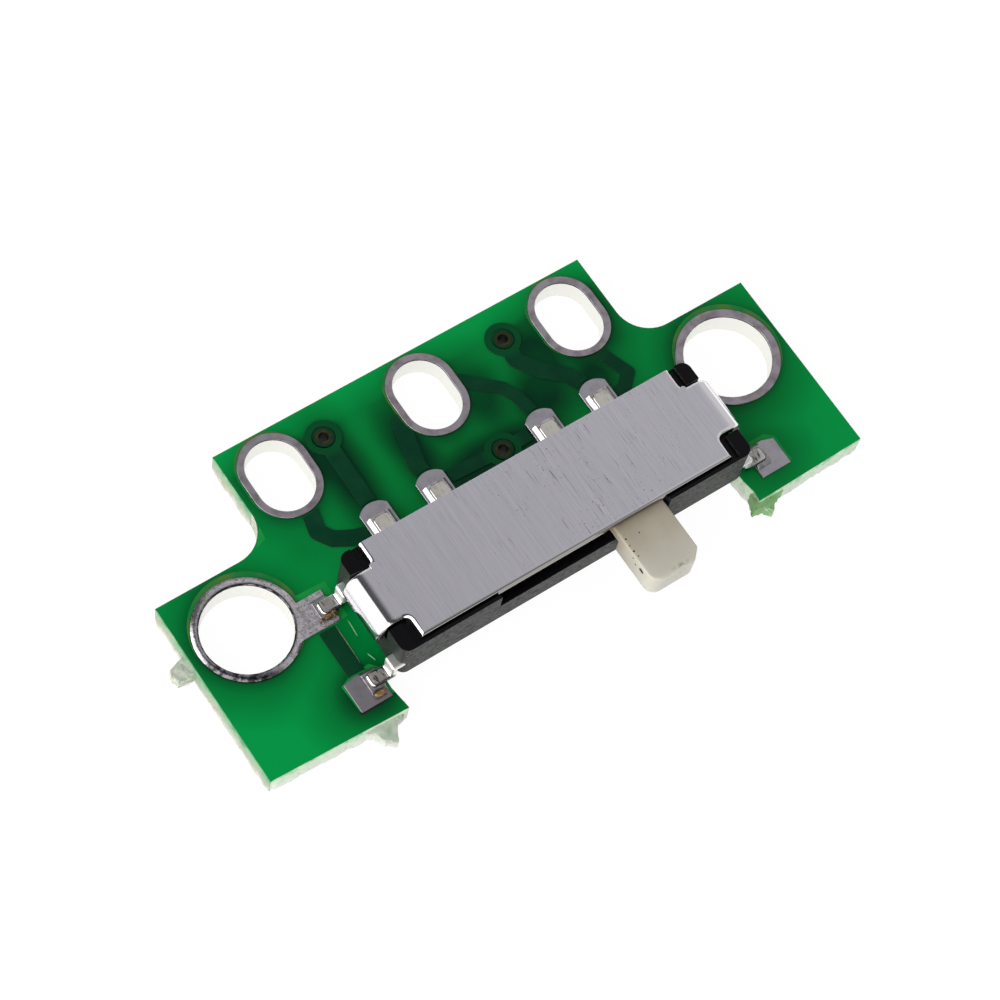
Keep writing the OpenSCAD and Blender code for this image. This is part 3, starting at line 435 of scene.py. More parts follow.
def torn_glass_fibre(name, green_from, look, layers):
    """Broken laminate: dry glass fibre in resin, pale below and greener towards the mask. Layers
    are its loose ends, its body, its pale green and its green."""
    material, tree, shader, place = new_finish(name, Roughness=0.8, IOR=1.5)
    height = add(tree, "ShaderNodeSeparateXYZ", links={0: place}).outputs[2]
    wander = add(tree, "ShaderNodeTexNoise", {"Scale": per_mm(0.3), "Detail": 4.0},
                 {"Vector": place})
    shift = add(tree, "ShaderNodeMath", {"operation": "MULTIPLY_ADD", 1: 0.5 * MM},
                {0: wander.outputs[0], 2: height})
    layer = add(tree, "ShaderNodeMapRange", {1: 0.25 * MM, 2: green_from}, {0: shift.outputs[0]})
    body = add(tree, "ShaderNodeValToRGB", {"stops": [
        (0.0, layers[0]), (0.45, layers[1]), (0.72, layers[2]), (1.0, layers[3])]},
        {0: layer.outputs[0]})
    grain = add(tree, "ShaderNodeTexNoise",
                {"Scale": per_mm(0.14), "Detail": 6.0, "Roughness": 0.7},
                {"Vector": place})
    hollow = add(tree, "ShaderNodeMapRange", {1: 0.42, 2: 0.3, 4: 0.7}, {0: grain.outputs[0]})
    colour = add(tree, "ShaderNodeMix", {"data_type": "RGBA", 7: look.fibre_shade},
                 {0: hollow.outputs[0], 6: body.outputs[0]})
    bump = add(tree, "ShaderNodeBump", {"Strength": 0.6, "Distance": 0.03 * MM},
               {"Height": grain.outputs[0]})
    tree.links.new(colour.outputs[2], shader.inputs["Base Color"])
    tree.links.new(bump.outputs[0], shader.inputs["Normal"])
    return material


def bare_laminate_gap(name, green, yellow):
    """Laminate without mask in the gaps round the plating: a lighter, yellower green."""
    material, tree, shader, place = new_finish(name, Roughness=0.5, IOR=1.5,
                                               Specular_IOR_Level=0.22)
    clouds = add(tree, "ShaderNodeTexNoise", {"Scale": per_mm(0.5), "Detail": 3.0},
                 {"Vector": place})
    shade = add(tree, "ShaderNodeValToRGB", {"stops": [(0.4, green), (0.65, yellow)]},
                {0: clouds.outputs[0]})
    tree.links.new(shade.outputs[0], shader.inputs["Base Color"])
    return material


def scraped_mask(look):
    """Hairline scrapes where the mask has gone white."""
    material, tree, shader, place = new_finish("scraped_mask", Roughness=0.6, IOR=1.5)
    dashes = add(tree, "ShaderNodeTexNoise", {"Scale": per_mm(0.2), "Detail": 2.0},
                 {"Vector": place})
    shade = add(tree, "ShaderNodeValToRGB",
                {"stops": [(0.25, look.gap_green), (0.38, look.scrape)]},
                {0: dashes.outputs[0]})
    tree.links.new(shade.outputs[0], shader.inputs["Base Color"])
    return material


def brushed_cover_sheet(look):
    """Brushed nickel-silver sheet: very fine lines across the cover, thin dark scratches and specks
    that gather in its middle, bends painted near white as a highlight and a dull cut edge in front.
    The real lines are about 0.01 mm wide, drawn 0.02 mm to show."""
    material, tree, shader, place = new_finish("brushed_nickel_silver", Metallic=1.0)
    facing = add(tree, "ShaderNodeSeparateXYZ",
                 links={0: add(tree, "ShaderNodeNewGeometry").outputs["Normal"]}).outputs
    flat = add(tree, "ShaderNodeMapRange", {1: 0.95, 2: 0.995}, {0: facing[2]}).outputs[0]
    cut_front = add(tree, "ShaderNodeMapRange", {1: -0.6, 2: -0.9}, {0: facing[1]}).outputs[0]
    fine = add(tree, "ShaderNodeMapping", {"Scale": (per_mm(0.022), per_mm(1.3), per_mm(1.3))},
               {0: place})
    lines = add(tree, "ShaderNodeTexNoise", {"Scale": 1.0, "Detail": 3.0, "Roughness": 0.6},
                {"Vector": fine.outputs[0]})
    deep = add(tree, "ShaderNodeMapping", {"Scale": (per_mm(0.03), per_mm(0.7), per_mm(0.7)),
                                           "Rotation": (0, 0, 0.03)}, {0: place})
    cuts = add(tree, "ShaderNodeTexNoise", {"Scale": 1.0, "Detail": 1.0},
               {"Vector": deep.outputs[0]})
    cut = add(tree, "ShaderNodeMapRange", {1: 0.65, 2: 0.77}, {0: cuts.outputs[0]})
    along = add(tree, "ShaderNodeSeparateXYZ", links={0: place}).outputs[0]
    from_middle = add(tree, "ShaderNodeMath", {"operation": "SUBTRACT", 1: 1.4 * MM}, {0: along})
    off = add(tree, "ShaderNodeMath", {"operation": "ABSOLUTE"}, {0: from_middle.outputs[0]})
    worn = add(tree, "ShaderNodeMapRange", {1: 0.8 * MM, 2: 3.2 * MM, 3: 1.0, 4: 0.25},
               {0: off.outputs[0]})
    patches = add(tree, "ShaderNodeTexNoise", {"Scale": per_mm(0.9), "Detail": 2.0},
                  {"Vector": place})
    patch = add(tree, "ShaderNodeMapRange", {1: 0.38, 2: 0.56, 3: 0.05, 4: 0.8},
                {0: patches.outputs[0]})
    where = add(tree, "ShaderNodeMath", {"operation": "MULTIPLY"},
                {0: worn.outputs[0], 1: patch.outputs[0]})
    dots = add(tree, "ShaderNodeTexNoise", {"Scale": per_mm(0.05), "Detail": 1.0},
               {"Vector": place})
    speck = add(tree, "ShaderNodeMapRange", {1: 0.68, 2: 0.75}, {0: dots.outputs[0]})
    either = add(tree, "ShaderNodeMath", {"operation": "MAXIMUM"},
                 {0: cut.outputs[0], 1: speck.outputs[0]})
    marks = add(tree, "ShaderNodeMath", {"operation": "MULTIPLY"},
                {0: either.outputs[0], 1: where.outputs[0]})
    brushed = add(tree, "ShaderNodeValToRGB", {"stops": [
        (0.3, look.sheet_shade), (0.55, look.sheet), (0.75, look.sheet_light)]},
        {0: lines.outputs[0]})
    scored = add(tree, "ShaderNodeMix", {"data_type": "RGBA", 7: look.sheet_score},
                 {0: marks.outputs[0], 6: brushed.outputs[0]})
    # Painted highlight: bends and edges take the near-white bend colour.
    bends = add(tree, "ShaderNodeMix", {"data_type": "RGBA", 6: look.sheet_bend_highlight, 7: look.sheet_cut},
                {0: cut_front})
    colour = add(tree, "ShaderNodeMix", {"data_type": "RGBA"},
                 {0: flat, 6: bends.outputs[2], 7: scored.outputs[2]})
    rough = add(tree, "ShaderNodeMapRange", {3: 0.1, 4: 0.28}, {0: flat})
    depth = add(tree, "ShaderNodeMapRange", {3: 0.0, 4: 0.15}, {0: flat})
    bump = add(tree, "ShaderNodeBump", {"Distance": 0.002 * MM},
               {"Strength": depth.outputs[0], "Height": lines.outputs[0]})
    tree.links.new(colour.outputs[2], shader.inputs["Base Color"])
    tree.links.new(rough.outputs[0], shader.inputs["Roughness"])
    tree.links.new(bump.outputs[0], shader.inputs["Normal"])
    return material


def tinned_brass(name, flat, slope_highlight, streak, roughness, leg=False):
    """Tinned brass: nearly a mirror with slow ripples, with a near-white painted highlight on its
    bends, dull and streaked across its darker flat tops. A leg has painted shade on its near side,
    and is rougher and painted white up its riser as a highlight."""
    material, tree, shader, place = new_finish(name, Metallic=1.0, Roughness=roughness)
    facing = add(tree, "ShaderNodeSeparateXYZ",
                 links={0: add(tree, "ShaderNodeNewGeometry").outputs["Normal"]}).outputs
    up = facing[2]
    ripple = add(tree, "ShaderNodeTexNoise", {"Scale": per_mm(0.22), "Detail": 2.0},
                 {"Vector": place})
    lift = add(tree, "ShaderNodeMapRange", {1: 0.35, 2: 0.65, 3: -0.12, 4: 0.12},
               {0: ripple.outputs[0]})
    mixed = add(tree, "ShaderNodeMath", {"operation": "ADD"}, {0: up, 1: lift.outputs[0]})
    lines = add(tree, "ShaderNodeMapping", {"Scale": (per_mm(0.05), per_mm(0.2), per_mm(0.2))},
                {0: place})
    bands = add(tree, "ShaderNodeTexNoise", {"Scale": 1.0, "Detail": 3.0},
                {"Vector": lines.outputs[0]})
    top = add(tree, "ShaderNodeValToRGB", {"stops": [(0.34, streak), (0.46, flat)]},
              {0: bands.outputs[0]})
    # Painted highlight: bends take the near-white slope colour, flat tops the darker streaked one.
    high = add(tree, "ShaderNodeMapRange", {1: 0.7, 2: 0.98}, {0: mixed.outputs[0]})
    tone = add(tree, "ShaderNodeMix", {"data_type": "RGBA", 6: slope_highlight},
               {0: high.outputs[0], 7: top.outputs[0]}).outputs[2]
    if leg:
        # Painted shade on the leg's near side.
        near = add(tree, "ShaderNodeMapRange", {1: -0.35, 2: -0.8, 4: 0.85}, {0: facing[1]})
        dim = add(tree, "ShaderNodeMix", {"data_type": "RGBA", 7: streak},
                  {0: near.outputs[0], 6: tone})
        height = add(tree, "ShaderNodeSeparateXYZ", links={0: place}).outputs[2]
        # Painted highlight: the riser is painted white.
        riser_highlight = add(tree, "ShaderNodeMapRange", {1: BOARD_TOP + 0.21 * MM, 2: BOARD_TOP + 0.25 * MM},
                   {0: height})
        tone = add(tree, "ShaderNodeMix", {"data_type": "RGBA", 7: slope_highlight},
                   {0: riser_highlight.outputs[0], 6: dim.outputs[2]}).outputs[2]
        rough = add(tree, "ShaderNodeMapRange", {3: roughness, 4: 0.5}, {0: riser_highlight.outputs[0]})
        tree.links.new(rough.outputs[0], shader.inputs["Roughness"])
    bump = add(tree, "ShaderNodeBump", {"Strength": 0.5, "Distance": 0.015 * MM},
               {"Height": ripple.outputs[0]})
    tree.links.new(tone, shader.inputs["Base Color"])
    tree.links.new(bump.outputs[0], shader.inputs["Normal"])
    return material


def reflowed_solder(name, colour, shaded, roughness):
    """Reflowed solder: smooth and slightly grainy where it froze."""
    material, tree, shader, place = new_finish(name, Metallic=1.0, Roughness=roughness)
    grain = add(tree, "ShaderNodeTexNoise", {"Scale": per_mm(0.1), "Detail": 4.0},
                {"Vector": place})
    shade = add(tree, "ShaderNodeValToRGB", {"stops": [(0.3, shaded), (0.6, colour)]},
                {0: grain.outputs[0]})
    bump = add(tree, "ShaderNodeBump", {"Strength": 0.4, "Distance": 0.01 * MM},
               {"Height": grain.outputs[0]})
    tree.links.new(shade.outputs[0], shader.inputs["Base Color"])
    tree.links.new(bump.outputs[0], shader.inputs["Normal"])
    return material


def amber_flux(look):
    """Dried flux resin: glossy amber, brown where it is thick."""
    material, tree, shader, place = new_finish("amber_flux_resin", Roughness=0.12, IOR=1.53,
                                               Coat_Weight=0.5)
    thick = add(tree, "ShaderNodeTexNoise", {"Scale": per_mm(0.12), "Detail": 3.0},
                {"Vector": place})
    shade = add(tree, "ShaderNodeValToRGB", {"stops": [(0.4, look.flux_dark), (0.65, look.flux)]},
                {0: thick.outputs[0]})
    tree.links.new(shade.outputs[0], shader.inputs["Base Color"])
    return material


def black_moulding(look):
    """Glass-filled black moulding: dark corner posts, and a front wall painted grey with fine grain
    as a reflection of the floor, with some dark gouges."""
    material, tree, shader, place = new_finish("black_glass_filled_moulding", IOR=1.55,
                                               Specular_IOR_Level=0.12)
    facing = add(tree, "ShaderNodeSeparateXYZ",
                 links={0: add(tree, "ShaderNodeNewGeometry").outputs["Normal"]}).outputs
    # Painted reflection: faces towards the front, and less towards the left, are painted grey as
    # the floor seen in them.
    nearer = add(tree, "ShaderNodeMapRange", {1: -0.5, 2: -0.9}, {0: facing[1]})
    lefter = add(tree, "ShaderNodeMapRange", {1: -0.5, 2: -0.9, 4: 0.4}, {0: facing[0]})
    front = add(tree, "ShaderNodeMath", {"operation": "MAXIMUM"},
                {0: nearer.outputs[0], 1: lefter.outputs[0]})
    long_way = add(tree, "ShaderNodeMapping", {"Scale": (per_mm(0.12), per_mm(0.05), per_mm(0.04))},
                   {0: place})
    grain = add(tree, "ShaderNodeTexNoise", {"Scale": 1.0, "Detail": 4.0, "Roughness": 0.7},
                {"Vector": long_way.outputs[0]})
    front_sheen = add(tree, "ShaderNodeValToRGB", {"stops": [
        (0.3, look.moulding), (0.48, look.moulding_front_sheen), (0.75, look.moulding_pale_sheen)]},
        {0: grain.outputs[0]})
    torn = add(tree, "ShaderNodeMapping", {"Scale": (per_mm(0.4), per_mm(0.08), per_mm(0.06))},
               {0: place})
    rips = add(tree, "ShaderNodeTexNoise", {"Scale": 1.0, "Detail": 3.0},
               {"Vector": torn.outputs[0]})
    gouge = add(tree, "ShaderNodeMapRange", {1: 0.6, 2: 0.68, 4: 0.85}, {0: rips.outputs[0]})
    wall = add(tree, "ShaderNodeMix", {"data_type": "RGBA", 7: look.moulding},
               {0: gouge.outputs[0], 6: front_sheen.outputs[0]})
    colour = add(tree, "ShaderNodeMix", {"data_type": "RGBA", 6: look.moulding},
                 {0: front.outputs[0], 7: wall.outputs[2]})
    rough = add(tree, "ShaderNodeMapRange", {3: 0.24, 4: 0.6}, {0: front.outputs[0]})
    bump = add(tree, "ShaderNodeBump", {"Strength": 0.5, "Distance": 0.012 * MM},
               {"Height": grain.outputs[0]})
    tree.links.new(colour.outputs[2], shader.inputs["Base Color"])
    tree.links.new(rough.outputs[0], shader.inputs["Roughness"])
    tree.links.new(bump.outputs[0], shader.inputs["Normal"])
    return material


def ivory_nylon(look):
    """Natural nylon: ivory and waxy, letting light in, with painted shade darker and browner near
    the cover and more light towards its free end, with pinhead dirt and a thumbed smudge by its
    free end."""
    material, tree, shader, place = new_finish("ivory_nylon", Roughness=0.45, IOR=1.53,
                                               Subsurface_Weight=0.6,
                                               Subsurface_Radius=(0.45, 0.4, 0.3),
                                               Subsurface_Scale=0.8 * MM)
    along = add(tree, "ShaderNodeSeparateXYZ", links={0: place}).outputs[1]
    clouds = add(tree, "ShaderNodeTexNoise", {"Scale": per_mm(0.6), "Detail": 4.0},
                 {"Vector": place})
    drift = add(tree, "ShaderNodeMath", {"operation": "MULTIPLY_ADD", 1: 0.9 * MM},
                {0: clouds.outputs[0], 2: along})
    # Painted shade near the cover, with more light towards the free end.
    cover_shade_fade = add(tree, "ShaderNodeMapRange", {1: -1.9 * MM, 2: -3.7 * MM}, {0: drift.outputs[0]})
    body = add(tree, "ShaderNodeValToRGB", {"stops": [
        (0.0, look.nylon_shade), (0.6, look.nylon), (1.0, look.nylon_light)]}, {0: cover_shade_fade.outputs[0]})
    away = add(tree, "ShaderNodeVectorMath",
               {"operation": "SUBTRACT", 1: (2.08 * MM, -4.03 * MM, 0)}, {0: place})
    shaped = add(tree, "ShaderNodeVectorMath", {"operation": "MULTIPLY", 1: (0.7, 2.2, 0)},
                 {0: away.outputs[0]})
    reach = add(tree, "ShaderNodeVectorMath", {"operation": "LENGTH"}, {0: shaped.outputs[0]})
    thumbed = add(tree, "ShaderNodeMapRange", {1: 0.22 * MM, 2: 0.05 * MM},
                  {0: reach.outputs["Value"]})
    blots = add(tree, "ShaderNodeTexNoise", {"Scale": per_mm(0.1), "Detail": 3.0},
                {"Vector": place})
    blot = add(tree, "ShaderNodeMapRange", {1: 0.45, 2: 0.65, 4: 0.5}, {0: blots.outputs[0]})
    smudge = add(tree, "ShaderNodeMath", {"operation": "MULTIPLY"},
                 {0: thumbed.outputs[0], 1: blot.outputs[0]})
    dots = add(tree, "ShaderNodeTexNoise", {"Scale": per_mm(0.07), "Detail": 1.0},
               {"Vector": place})
    dirt = add(tree, "ShaderNodeMapRange", {1: 0.75, 2: 0.8, 4: 0.7}, {0: dots.outputs[0]})
    marks = add(tree, "ShaderNodeMath", {"operation": "MAXIMUM"},
                {0: smudge.outputs[0], 1: dirt.outputs[0]})
    colour = add(tree, "ShaderNodeMix", {"data_type": "RGBA", 7: look.nylon_dirt},
                 {0: marks.outputs[0], 6: body.outputs[0]})
    bump = add(tree, "ShaderNodeBump", {"Strength": 0.3, "Distance": 0.02 * MM},
               {"Height": clouds.outputs[0]})
    tree.links.new(colour.outputs[2], shader.inputs["Base Color"])
    tree.links.new(bump.outputs[0], shader.inputs["Normal"])
    return material


def rolled_spring_metal(name, colour, dark):
    """Rolled spring strip inside the switch: even metal with faint rolling lines along X."""
    material, tree, shader, place = new_finish(name, Metallic=1.0, Roughness=0.3)
    rolled = add(tree, "ShaderNodeMapping", {"Scale": (per_mm(1.5), per_mm(0.05), per_mm(0.05))},
                 {0: place})
    lines = add(tree, "ShaderNodeTexNoise", {"Scale": 1.0, "Detail": 3.0},
                {"Vector": rolled.outputs[0]})
    shade = add(tree, "ShaderNodeValToRGB", {"stops": [(0.35, dark), (0.65, colour)]},
                {0: lines.outputs[0]})
    tree.links.new(shade.outputs[0], shader.inputs["Base Color"])
    return material


def soot_and_shadow_black(name, colour):
    """Matt and nearly black: dirt in the knob's pits, and a painted shadow along a pad's near edge.
    """
    material, tree, shader, place = new_finish(name, Roughness=0.8)
    grain = add(tree, "ShaderNodeTexNoise", {"Scale": per_mm(0.04), "Detail": 2.0},
                {"Vector": place})
    shade = add(tree, "ShaderNodeValToRGB", {"stops": [(0.3, linear("#0b0805")), (0.7, colour)]},
                {0: grain.outputs[0]})
    tree.links.new(shade.outputs[0], shader.inputs["Base Color"])
    return material


# Shapes


def wear(piece, material):
    """Give a piece one material in place of what it had."""
    piece.data.materials.clear()
    piece.data.materials.append(material)


def paint_node(node, material):
    """Give a CAD node's slots a better material and leave its mesh alone."""
    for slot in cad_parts[node].material_slots:
        slot.material = material


def place_piece(name, shape, material, body="board"):
    """Make a mesh object of a finished bmesh, shade it and let it ride on its body."""
    mesh = bpy.data.meshes.new(name)
    shape.to_mesh(mesh)
    shape.free()
    mesh.polygons.foreach_set("use_smooth", [True] * len(mesh.polygons))
    mesh.set_sharp_from_angle(angle=SMOOTH_ANGLE)
    piece = bpy.data.objects.new(name, mesh)
    bpy.context.scene.collection.objects.link(piece)
    wear(piece, material)
    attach(piece, body)
    return piece


def large_faces_lead(mesh):
    """Weigh the shading by area, so flat faces stay flat beside their rounded edges."""
    totals = [Vector() for _ in mesh.vertices]
    for face in mesh.polygons:
        for index in face.vertices:
            totals[index] += face.normal * face.area
    mesh.normals_split_custom_set_from_vertices([total.normalized() for total in totals])


def soften(node, width, steps, material, body="board", broad=None):
    """Replace a CAD node by a merged copy whose sharp edges are rounded. Broad is a rule that picks
    the edges to round first and their own, larger width."""
    shape = bmesh.new()
    shape.from_mesh(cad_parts[node].data)
    bmesh.ops.remove_doubles(shape, verts=shape.verts, dist=MERGE_GAP)
    bmesh.ops.dissolve_limit(shape, angle_limit=FLAT_ANGLE, verts=shape.verts, edges=shape.edges)
    rounds = [(broad[1], BROAD_STEPS, broad[0])] if broad else []
    rounds.append((width, steps, None))
    for offset, segments, wanted in rounds:
        sharp = [e for e in shape.edges
                 if len(e.link_faces) == 2 and e.calc_face_angle(0.0) > SHARP_ANGLE]
        picked = [e for e in sharp if wanted(e)] if wanted else sharp
        bmesh.ops.bevel(shape, geom=picked, offset=offset, segments=segments, profile=0.5,
                        affect="EDGES", clamp_overlap=not wanted, material=-1)
    piece = place_piece(node + "_soft", shape, material, body)
    large_faces_lead(piece.data)
    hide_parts(node)
    return piece


def stamped_edge(edge):
    """True for the cover's outer edges that stamping has rounded: its front, its ends, the corner
    notches and the flaps' sides."""
    first, second = (face.normal for face in edge.link_faces)
    middle = (edge.verts[0].co + edge.verts[1].co) / 2
    off = middle.x - COVER_X
    on_flap = abs(off) > FLAP_START
    for skin, cut in ((first, second), (second, first)):
        outward = skin.z + skin.x * math.copysign(1.0, off) > 0.7 and abs(skin.y) < 0.1
        if outward and abs(cut.z) < 0.3 and (on_flap or skin.z > 0.9 and cut.y < 0.7):
            return True
    return False


def thicken(shape, thick):
    """Raise a flat shape into a closed plate."""
    raised = bmesh.ops.extrude_face_region(shape, geom=list(shape.faces))
    lifted = [g for g in raised["geom"] if isinstance(g, bmesh.types.BMVert)]
    bmesh.ops.translate(shape, verts=lifted, vec=(0, 0, thick))
    bmesh.ops.recalc_face_normals(shape, faces=shape.faces)
    return shape


def thin_plate(points, low, thick):
    """A closed plate over a flat outline given as x, y pairs in millimetres."""
    shape = bmesh.new()
    shape.faces.new([shape.verts.new((x * MM, y * MM, low)) for x, y in points])
    return thicken(shape, thick)


def ring_gap(centre, radius, bore, bore_centre, low, thick, straight=0.0):
    """A flat ring between an offset opening and the plating that it shows round, round or with
    straight sides of the given length along Y."""
    shape = bmesh.new()
    for r, c in ((radius, centre), (bore, bore_centre)):
        made = bmesh.ops.create_circle(shape, segments=CIRCLE_STEPS, radius=r)
        for v in made["verts"]:
            v.co += Vector((*c, low)) + Vector((0, math.copysign(straight / 2, v.co.y), 0))
    bmesh.ops.bridge_loops(shape, edges=shape.edges)
    return thicken(shape, thick)


def torn_strip(start, end, outward, low, high, depth, seed):
    """A ragged strip of fibre along a cut side of the board. It thins out at both ends and at its
    upper edge."""
    start, end, outward = Vector((*start, 0)), Vector((*end, 0)), Vector((*outward, 0)).normalized()
    length = (end - start).length
    along = max(8, int(length / STRIP_STEP))
    shape = bmesh.new()
    bmesh.ops.create_grid(shape, x_segments=along, y_segments=STRIP_ROWS, size=0.5)
    for v in shape.verts:
        t, h = v.co.x + 0.5, v.co.y + 0.5
        base = start.lerp(end, t) + Vector((0, 0, low + (high - low) * h))
        coarse = noise.noise(Vector((t * length / COARSE_TEAR, h * 1.2, seed)))
        fine = noise.noise(Vector((t * length / FINE_TEAR, h * 5.0, seed + 7.0)))
        taper = min(1.0, 4.0 * (1.0 - h), t * length / STRIP_TAPER,
                    (1.0 - t) * length / STRIP_TAPER)
        bulge = (0.45 + 0.45 * coarse + 0.3 * fine) * taper
        v.co = base + outward * depth * max(0.05, bulge)
    bmesh.ops.solidify(shape, geom=shape.faces, thickness=STRIP_WALL)
    bmesh.ops.recalc_face_normals(shape, faces=shape.faces)
    return shape


def torn_tag(points, low, thick, rough, seed):
    """A stub of broken laminate: an outline in millimetres, thickened, cut finer and roughened."""
    shape = thin_plate(points, low, thick)
    bmesh.ops.triangulate(shape, faces=shape.faces)
    for _ in range(3):
        bmesh.ops.subdivide_edges(shape, edges=shape.edges, cuts=1, use_grid_fill=True)
    for v in shape.verts:
        at = v.co / FINE_TEAR
        v.co += rough * Vector((noise.noise(at + Vector((seed, 0, 0))),
                                noise.noise(at + Vector((0, seed, 5))),
                                0.7 * noise.noise(at + Vector((9, 0, seed)))))
    bmesh.ops.recalc_face_normals(shape, faces=shape.faces)
    return shape


def droplets(spots, seed):
    """Small uneven drops, each given by its middle and its three half sizes in millimetres."""
    shape = bmesh.new()
    for i, (middle, half) in enumerate(spots):
        made = bmesh.ops.create_icosphere(shape, subdivisions=3, radius=1.0)
        for v in made["verts"]:
            v.co *= 1.0 + 0.22 * noise.noise(v.co * 1.4 + Vector((seed, i * 3.1, 0)))
        bmesh.ops.scale(shape, verts=made["verts"], vec=[h * MM for h in half])
        bmesh.ops.translate(shape, verts=made["verts"], vec=[m * MM for m in middle])
    return shape


# Sizes and colours a user would change


def colour_of(name, code, note):
    """A colour property with an sRGB hex code as default."""
    return bpy.props.FloatVectorProperty(name=name, description=note, subtype="COLOR",
                                         default=linear(code))


def length_of(name, millimetres, note):
    """A length property with a default in millimetres."""
    return bpy.props.FloatProperty(name=name, description=note, subtype="DISTANCE", unit="LENGTH",
                                   default=millimetres * MM, precision=5)


class BoardLook(bpy.types.PropertyGroup):
    """Finish of the board, its mask and its plating."""
    # The mask's lit, even, shaded and deep colours paint light coming through the board and the
    # shade that copper and the switch cast in it.
    mask_lit: colour_of("Lit mask", "#009f4a", "Mask where light comes through")
    mask_even: colour_of("Even mask", "#007d37", "Mask away from copper")
    mask_shade: colour_of("Shaded mask", "#005a29", "Mask near copper")
    mask_deep_shade: colour_of("Deep mask", "#003820", "Mask against the plating")
    trace: colour_of("Trace", "#063b26", "Copper under the mask")
    trace_worn: colour_of("Worn trace", "#0d442a", "Copper under thin mask")
    trace_edge: colour_of("Trace edge", "#2c4429", "Shoulder of a trace")
    fibre: colour_of("Fibre", "#adb19b", "Broken glass fibre")
    fibre_light: colour_of("Light fibre", "#d3d6c9", "Loose ends of the fibre")
    fibre_shade: colour_of("Shaded fibre", "#727759", "Hollows of the broken edge")
    fibre_pale_green: colour_of("Pale green fibre", "#90b896",
                                "Fibre that lets the mask's green through")
    # Painted light: the white, mint and lit green fibre make the horns' broken sides lighter, as
    # light coming through the thin laminate.
    fibre_white: colour_of("White fibre", "#f9fbf3", "Loose ends of the freshly broken horns")
    fibre_mint: colour_of("Mint fibre", "#e6fadf", "Fibre of the freshly broken horns")
    fibre_lit_green: colour_of("Lit green fibre", "#86c79a",
                               "Shreds of mask on the freshly broken horns")
    fibre_moss: colour_of("Moss fibre", "#93c284",
                          "Fibre soaked with mask on the right horn's stub")
    fibre_green: colour_of("Green fibre", "#4d9162", "Shreds of mask on the broken edge")
    gap_green: colour_of("Green gap", "#0b7d3a", "Laminate without mask")
    gap_yellow: colour_of("Yellow gap", "#4c7a36", "Laminate without mask, thin resin")
    thin_mask: colour_of("Thin mask", "#07963f", "Outline of the pads' openings")
    thin_mask_lit: colour_of("Lit thin mask", "#1ba04c",
                             "Outline of the pads' openings where it is thinnest")
    scrape: colour_of("Scrape", "#b9d8ae", "Scraped mask")
    tin: colour_of("Tin", "#bcb7c0", "Tin on the pads")
    tin_shade: colour_of("Shaded tin", "#a8a3ac", "Hollows of the tin on the pads")
    ring_tin: colour_of("Ring tin", "#dcd7dd", "Tin on the left ring")
    ring_tin_shade: colour_of("Shaded ring tin", "#aca7ac", "Hollows of the tin on the left ring")
    # Painted shade: the left front leg's pad is painted in this darker tin.
    shaded_leg_tin: colour_of("Leg pad tin", "#a39fa6", "Tin on the pads of the front legs")
    leg_tin_shade: colour_of("Shaded leg pad tin", "#94909a",
                             "Hollows of the tin on the front leg pads")
    slot_tin: colour_of("Slot tin", "#b3abb4", "Tin round the slots")
    slot_tin_shade: colour_of("Shaded slot tin", "#8f878c", "Hollows of the tin round the slots")
    # Dark tin marks the pits and the bore, paints shade round the rims and along a pad's near edge,
    # and a dark reflection on the left ring's near side.
    tin_pits_and_shade: colour_of("Dark tin", "#1d1b1d", "Rims, pits and burrs of the tin")
    # Painted reflection: nearly white tin down the holes, as the white floor seen in them.
    tin_barrel_reflection: colour_of("Barrel tin", "#f4f4ee", "Smooth tin down the holes")
    via: colour_of("Via", "#453f27", "Copper of the vias")
    via_dark: colour_of("Dark via", "#292818", "Blotches on the vias")
    # Painted shade down a via's hole.
    via_hole_shade: colour_of("Via hole", "#0d130d", "Wall of a via's hole")
    plating_edge: length_of("Plating edge", 0.014, "Rounding of pads and slots")
    ring_edge: length_of("Ring edge", 0.03, "Rounding of the round holes' rings")
    opening_shift: length_of("Mask shift", 0.08, "How far the mask's openings sit towards the tab")
    fibre_depth: length_of("Fibre depth", 0.07, "How far broken fibres stand out")


